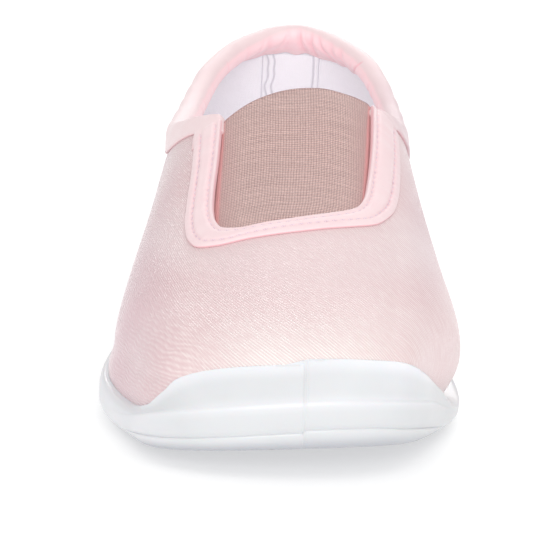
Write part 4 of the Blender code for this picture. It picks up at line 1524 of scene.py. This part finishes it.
stations = sole_stations()
rolled = both_sides([on_sides(stations, ROLL_IN[side]) for side in SIDES])
side_highlight = closed(both_sides([SIDE_HIGHLIGHT[side] * (1 - ramp(stations, *HIGHLIGHT_FADE)) for side in SIDES]) * rolled, 0)
in_front = 1 - closed(rolled, 0)
rings = [ring_round_outline(level, out) for level, out in BAND]
levels = [level for level, _ in BAND]
shoulder, cap = rings[-1], [rim_ring(over, thick) for over, thick in RIM_PROFILE]
for share in np.linspace(0, 1, CAP_STEPS)[1:-1]:
    turn_in, rise = 1 - math.cos(share * math.pi / 2), math.sin(share * math.pi / 2)
    blend = share + rolled[:, None] * (np.array((turn_in, turn_in, rise)) - share)
    rings.append(part_way((shoulder, cap[0]), blend))
    levels.append(2 + share)
rings = [parted(ring) for ring in rings + cap]
for share in CUP_RINGS:
    rings.append(ring_on_last(lambda at, side: part_way((BOARD, rim_height(at, side)), share), CUP_GAP))
rings.append(level_on_last(BOARD, CUP_GAP) - (0, 0, GAP))
levels += [3.0] * (len(rings) - len(levels))
levels = np.array(levels)[:, None] + 0 * in_front
cap_x = np.stack([closed(ring[:, 0], 0) for ring in rings])
# painted highlights along the shoulder, on the cap's edge and its medial end, and on the lateral side
ridge = bump_at(levels - HIGHLIGHT_LEVEL, HIGHLIGHT_WIDE) + LIP_HIGHLIGHT * ramp(levels, *LIP_LEVELS)
ridge = ridge + CAP_SIDE_HIGHLIGHT * ramp(cap_x, *CAP_SIDE_X) * ramp(levels, *CAP_SIDE_LEVELS)
skin = marked(wall("rubber_sole", rings), {"level": levels, "ridge": ridge * in_front + side_highlight})
outsole = joined([skin, lid("outsole_floor", rings[-1]), lid("outsole_under", rings[0])])
facing_out(outsole)
tread = tread_bars()
cut(outsole, tread)
bpy.data.objects.remove(tread)
smooth(outsole, 35)
dressed(outsole, rubber(), "outsole")


# ---- Floor, light and camera ---------------------------------------------------------------------------
# A plain white floor under broad soft lamps, seen from in front of the toe and a little above it.

FLOOR_SIZE = 30.0
FLOOR_GLOW = 0.42
FLOOR_GREY = 0.62
FLOOR_DOWN = 0.05  # clear of the tread
WORLD_GLOW = 0.72
CAMERA_ELEVATION = 12.70
CAMERA_AZIMUTH = -1.27
CAMERA_ROLL = 2.316
CAMERA_DISTANCE = 940.0
CAMERA_AIM = (-0.7, -8.9, 22.5)
CAMERA_LENS = 275.0

# A row for each lamp, a square soft box: its name, how many degrees it is round from the toe and up, how many
# metres off, how large, and its power
LAMPS = (
    ("over_the_toe", 16, 62, 1.2, 0.8, 2.5),
    ("behind", 175, 30, 1.2, 0.6, 3.6),
    ("by_the_camera", 0, 19, 1.6, 0.8, 9),
)


def direction(azimuth, elevation):
    """The way to a place this many degrees round from the toe and up."""
    around, above = math.radians(azimuth), math.radians(elevation)
    return Vector((math.sin(around) * math.cos(above), -math.cos(around) * math.cos(above), math.sin(above)))


bpy.ops.mesh.primitive_plane_add(size=FLOOR_SIZE, location=(0, 0, -FLOOR_DOWN * MM))
floor = bpy.context.active_object
floor.name = "floor"
paper = Finish("floor_white", 0.9, Base_Color=(FLOOR_GREY, FLOOR_GREY, FLOOR_GREY, 1))
paper.shader.inputs["Emission Color"].default_value = (1, 1, 1, 1)
paper.shader.inputs["Emission Strength"].default_value = FLOOR_GLOW
floor.data.materials.append(paper.material)

world = bpy.data.worlds.new("studio")
world.use_nodes = True
world.node_tree.nodes["Background"].inputs["Color"].default_value = (1, 1, 1, 1)
world.node_tree.nodes["Background"].inputs["Strength"].default_value = WORLD_GLOW
bpy.context.scene.world = world

for name, azimuth, elevation, distance, size, power in LAMPS:
    towards = direction(azimuth, elevation)
    bpy.ops.object.light_add(type="AREA", location=towards * distance)
    light = bpy.context.active_object
    light.name = name
    light.data.size = size
    light.data.energy = power
    light.rotation_euler = (-towards).to_track_quat("-Z", "Y").to_euler()

back = direction(CAMERA_AZIMUTH, CAMERA_ELEVATION)
right = direction(CAMERA_AZIMUTH + 90, 0)
up = back.cross(right)
roll = math.radians(CAMERA_ROLL)
axes = Matrix((right * math.cos(roll) + up * math.sin(roll), up * math.cos(roll) - right * math.sin(roll), back))
bpy.ops.object.camera_add()
camera = bpy.context.active_object
camera.data.lens = CAMERA_LENS
camera.data.clip_end = 100
camera.matrix_world = (
    Matrix.Translation((Vector(CAMERA_AIM) + back * CAMERA_DISTANCE) * MM) @ axes.transposed().to_4x4()
)
bpy.context.scene.camera = camera
bpy.context.scene.view_settings.view_transform = "Standard"
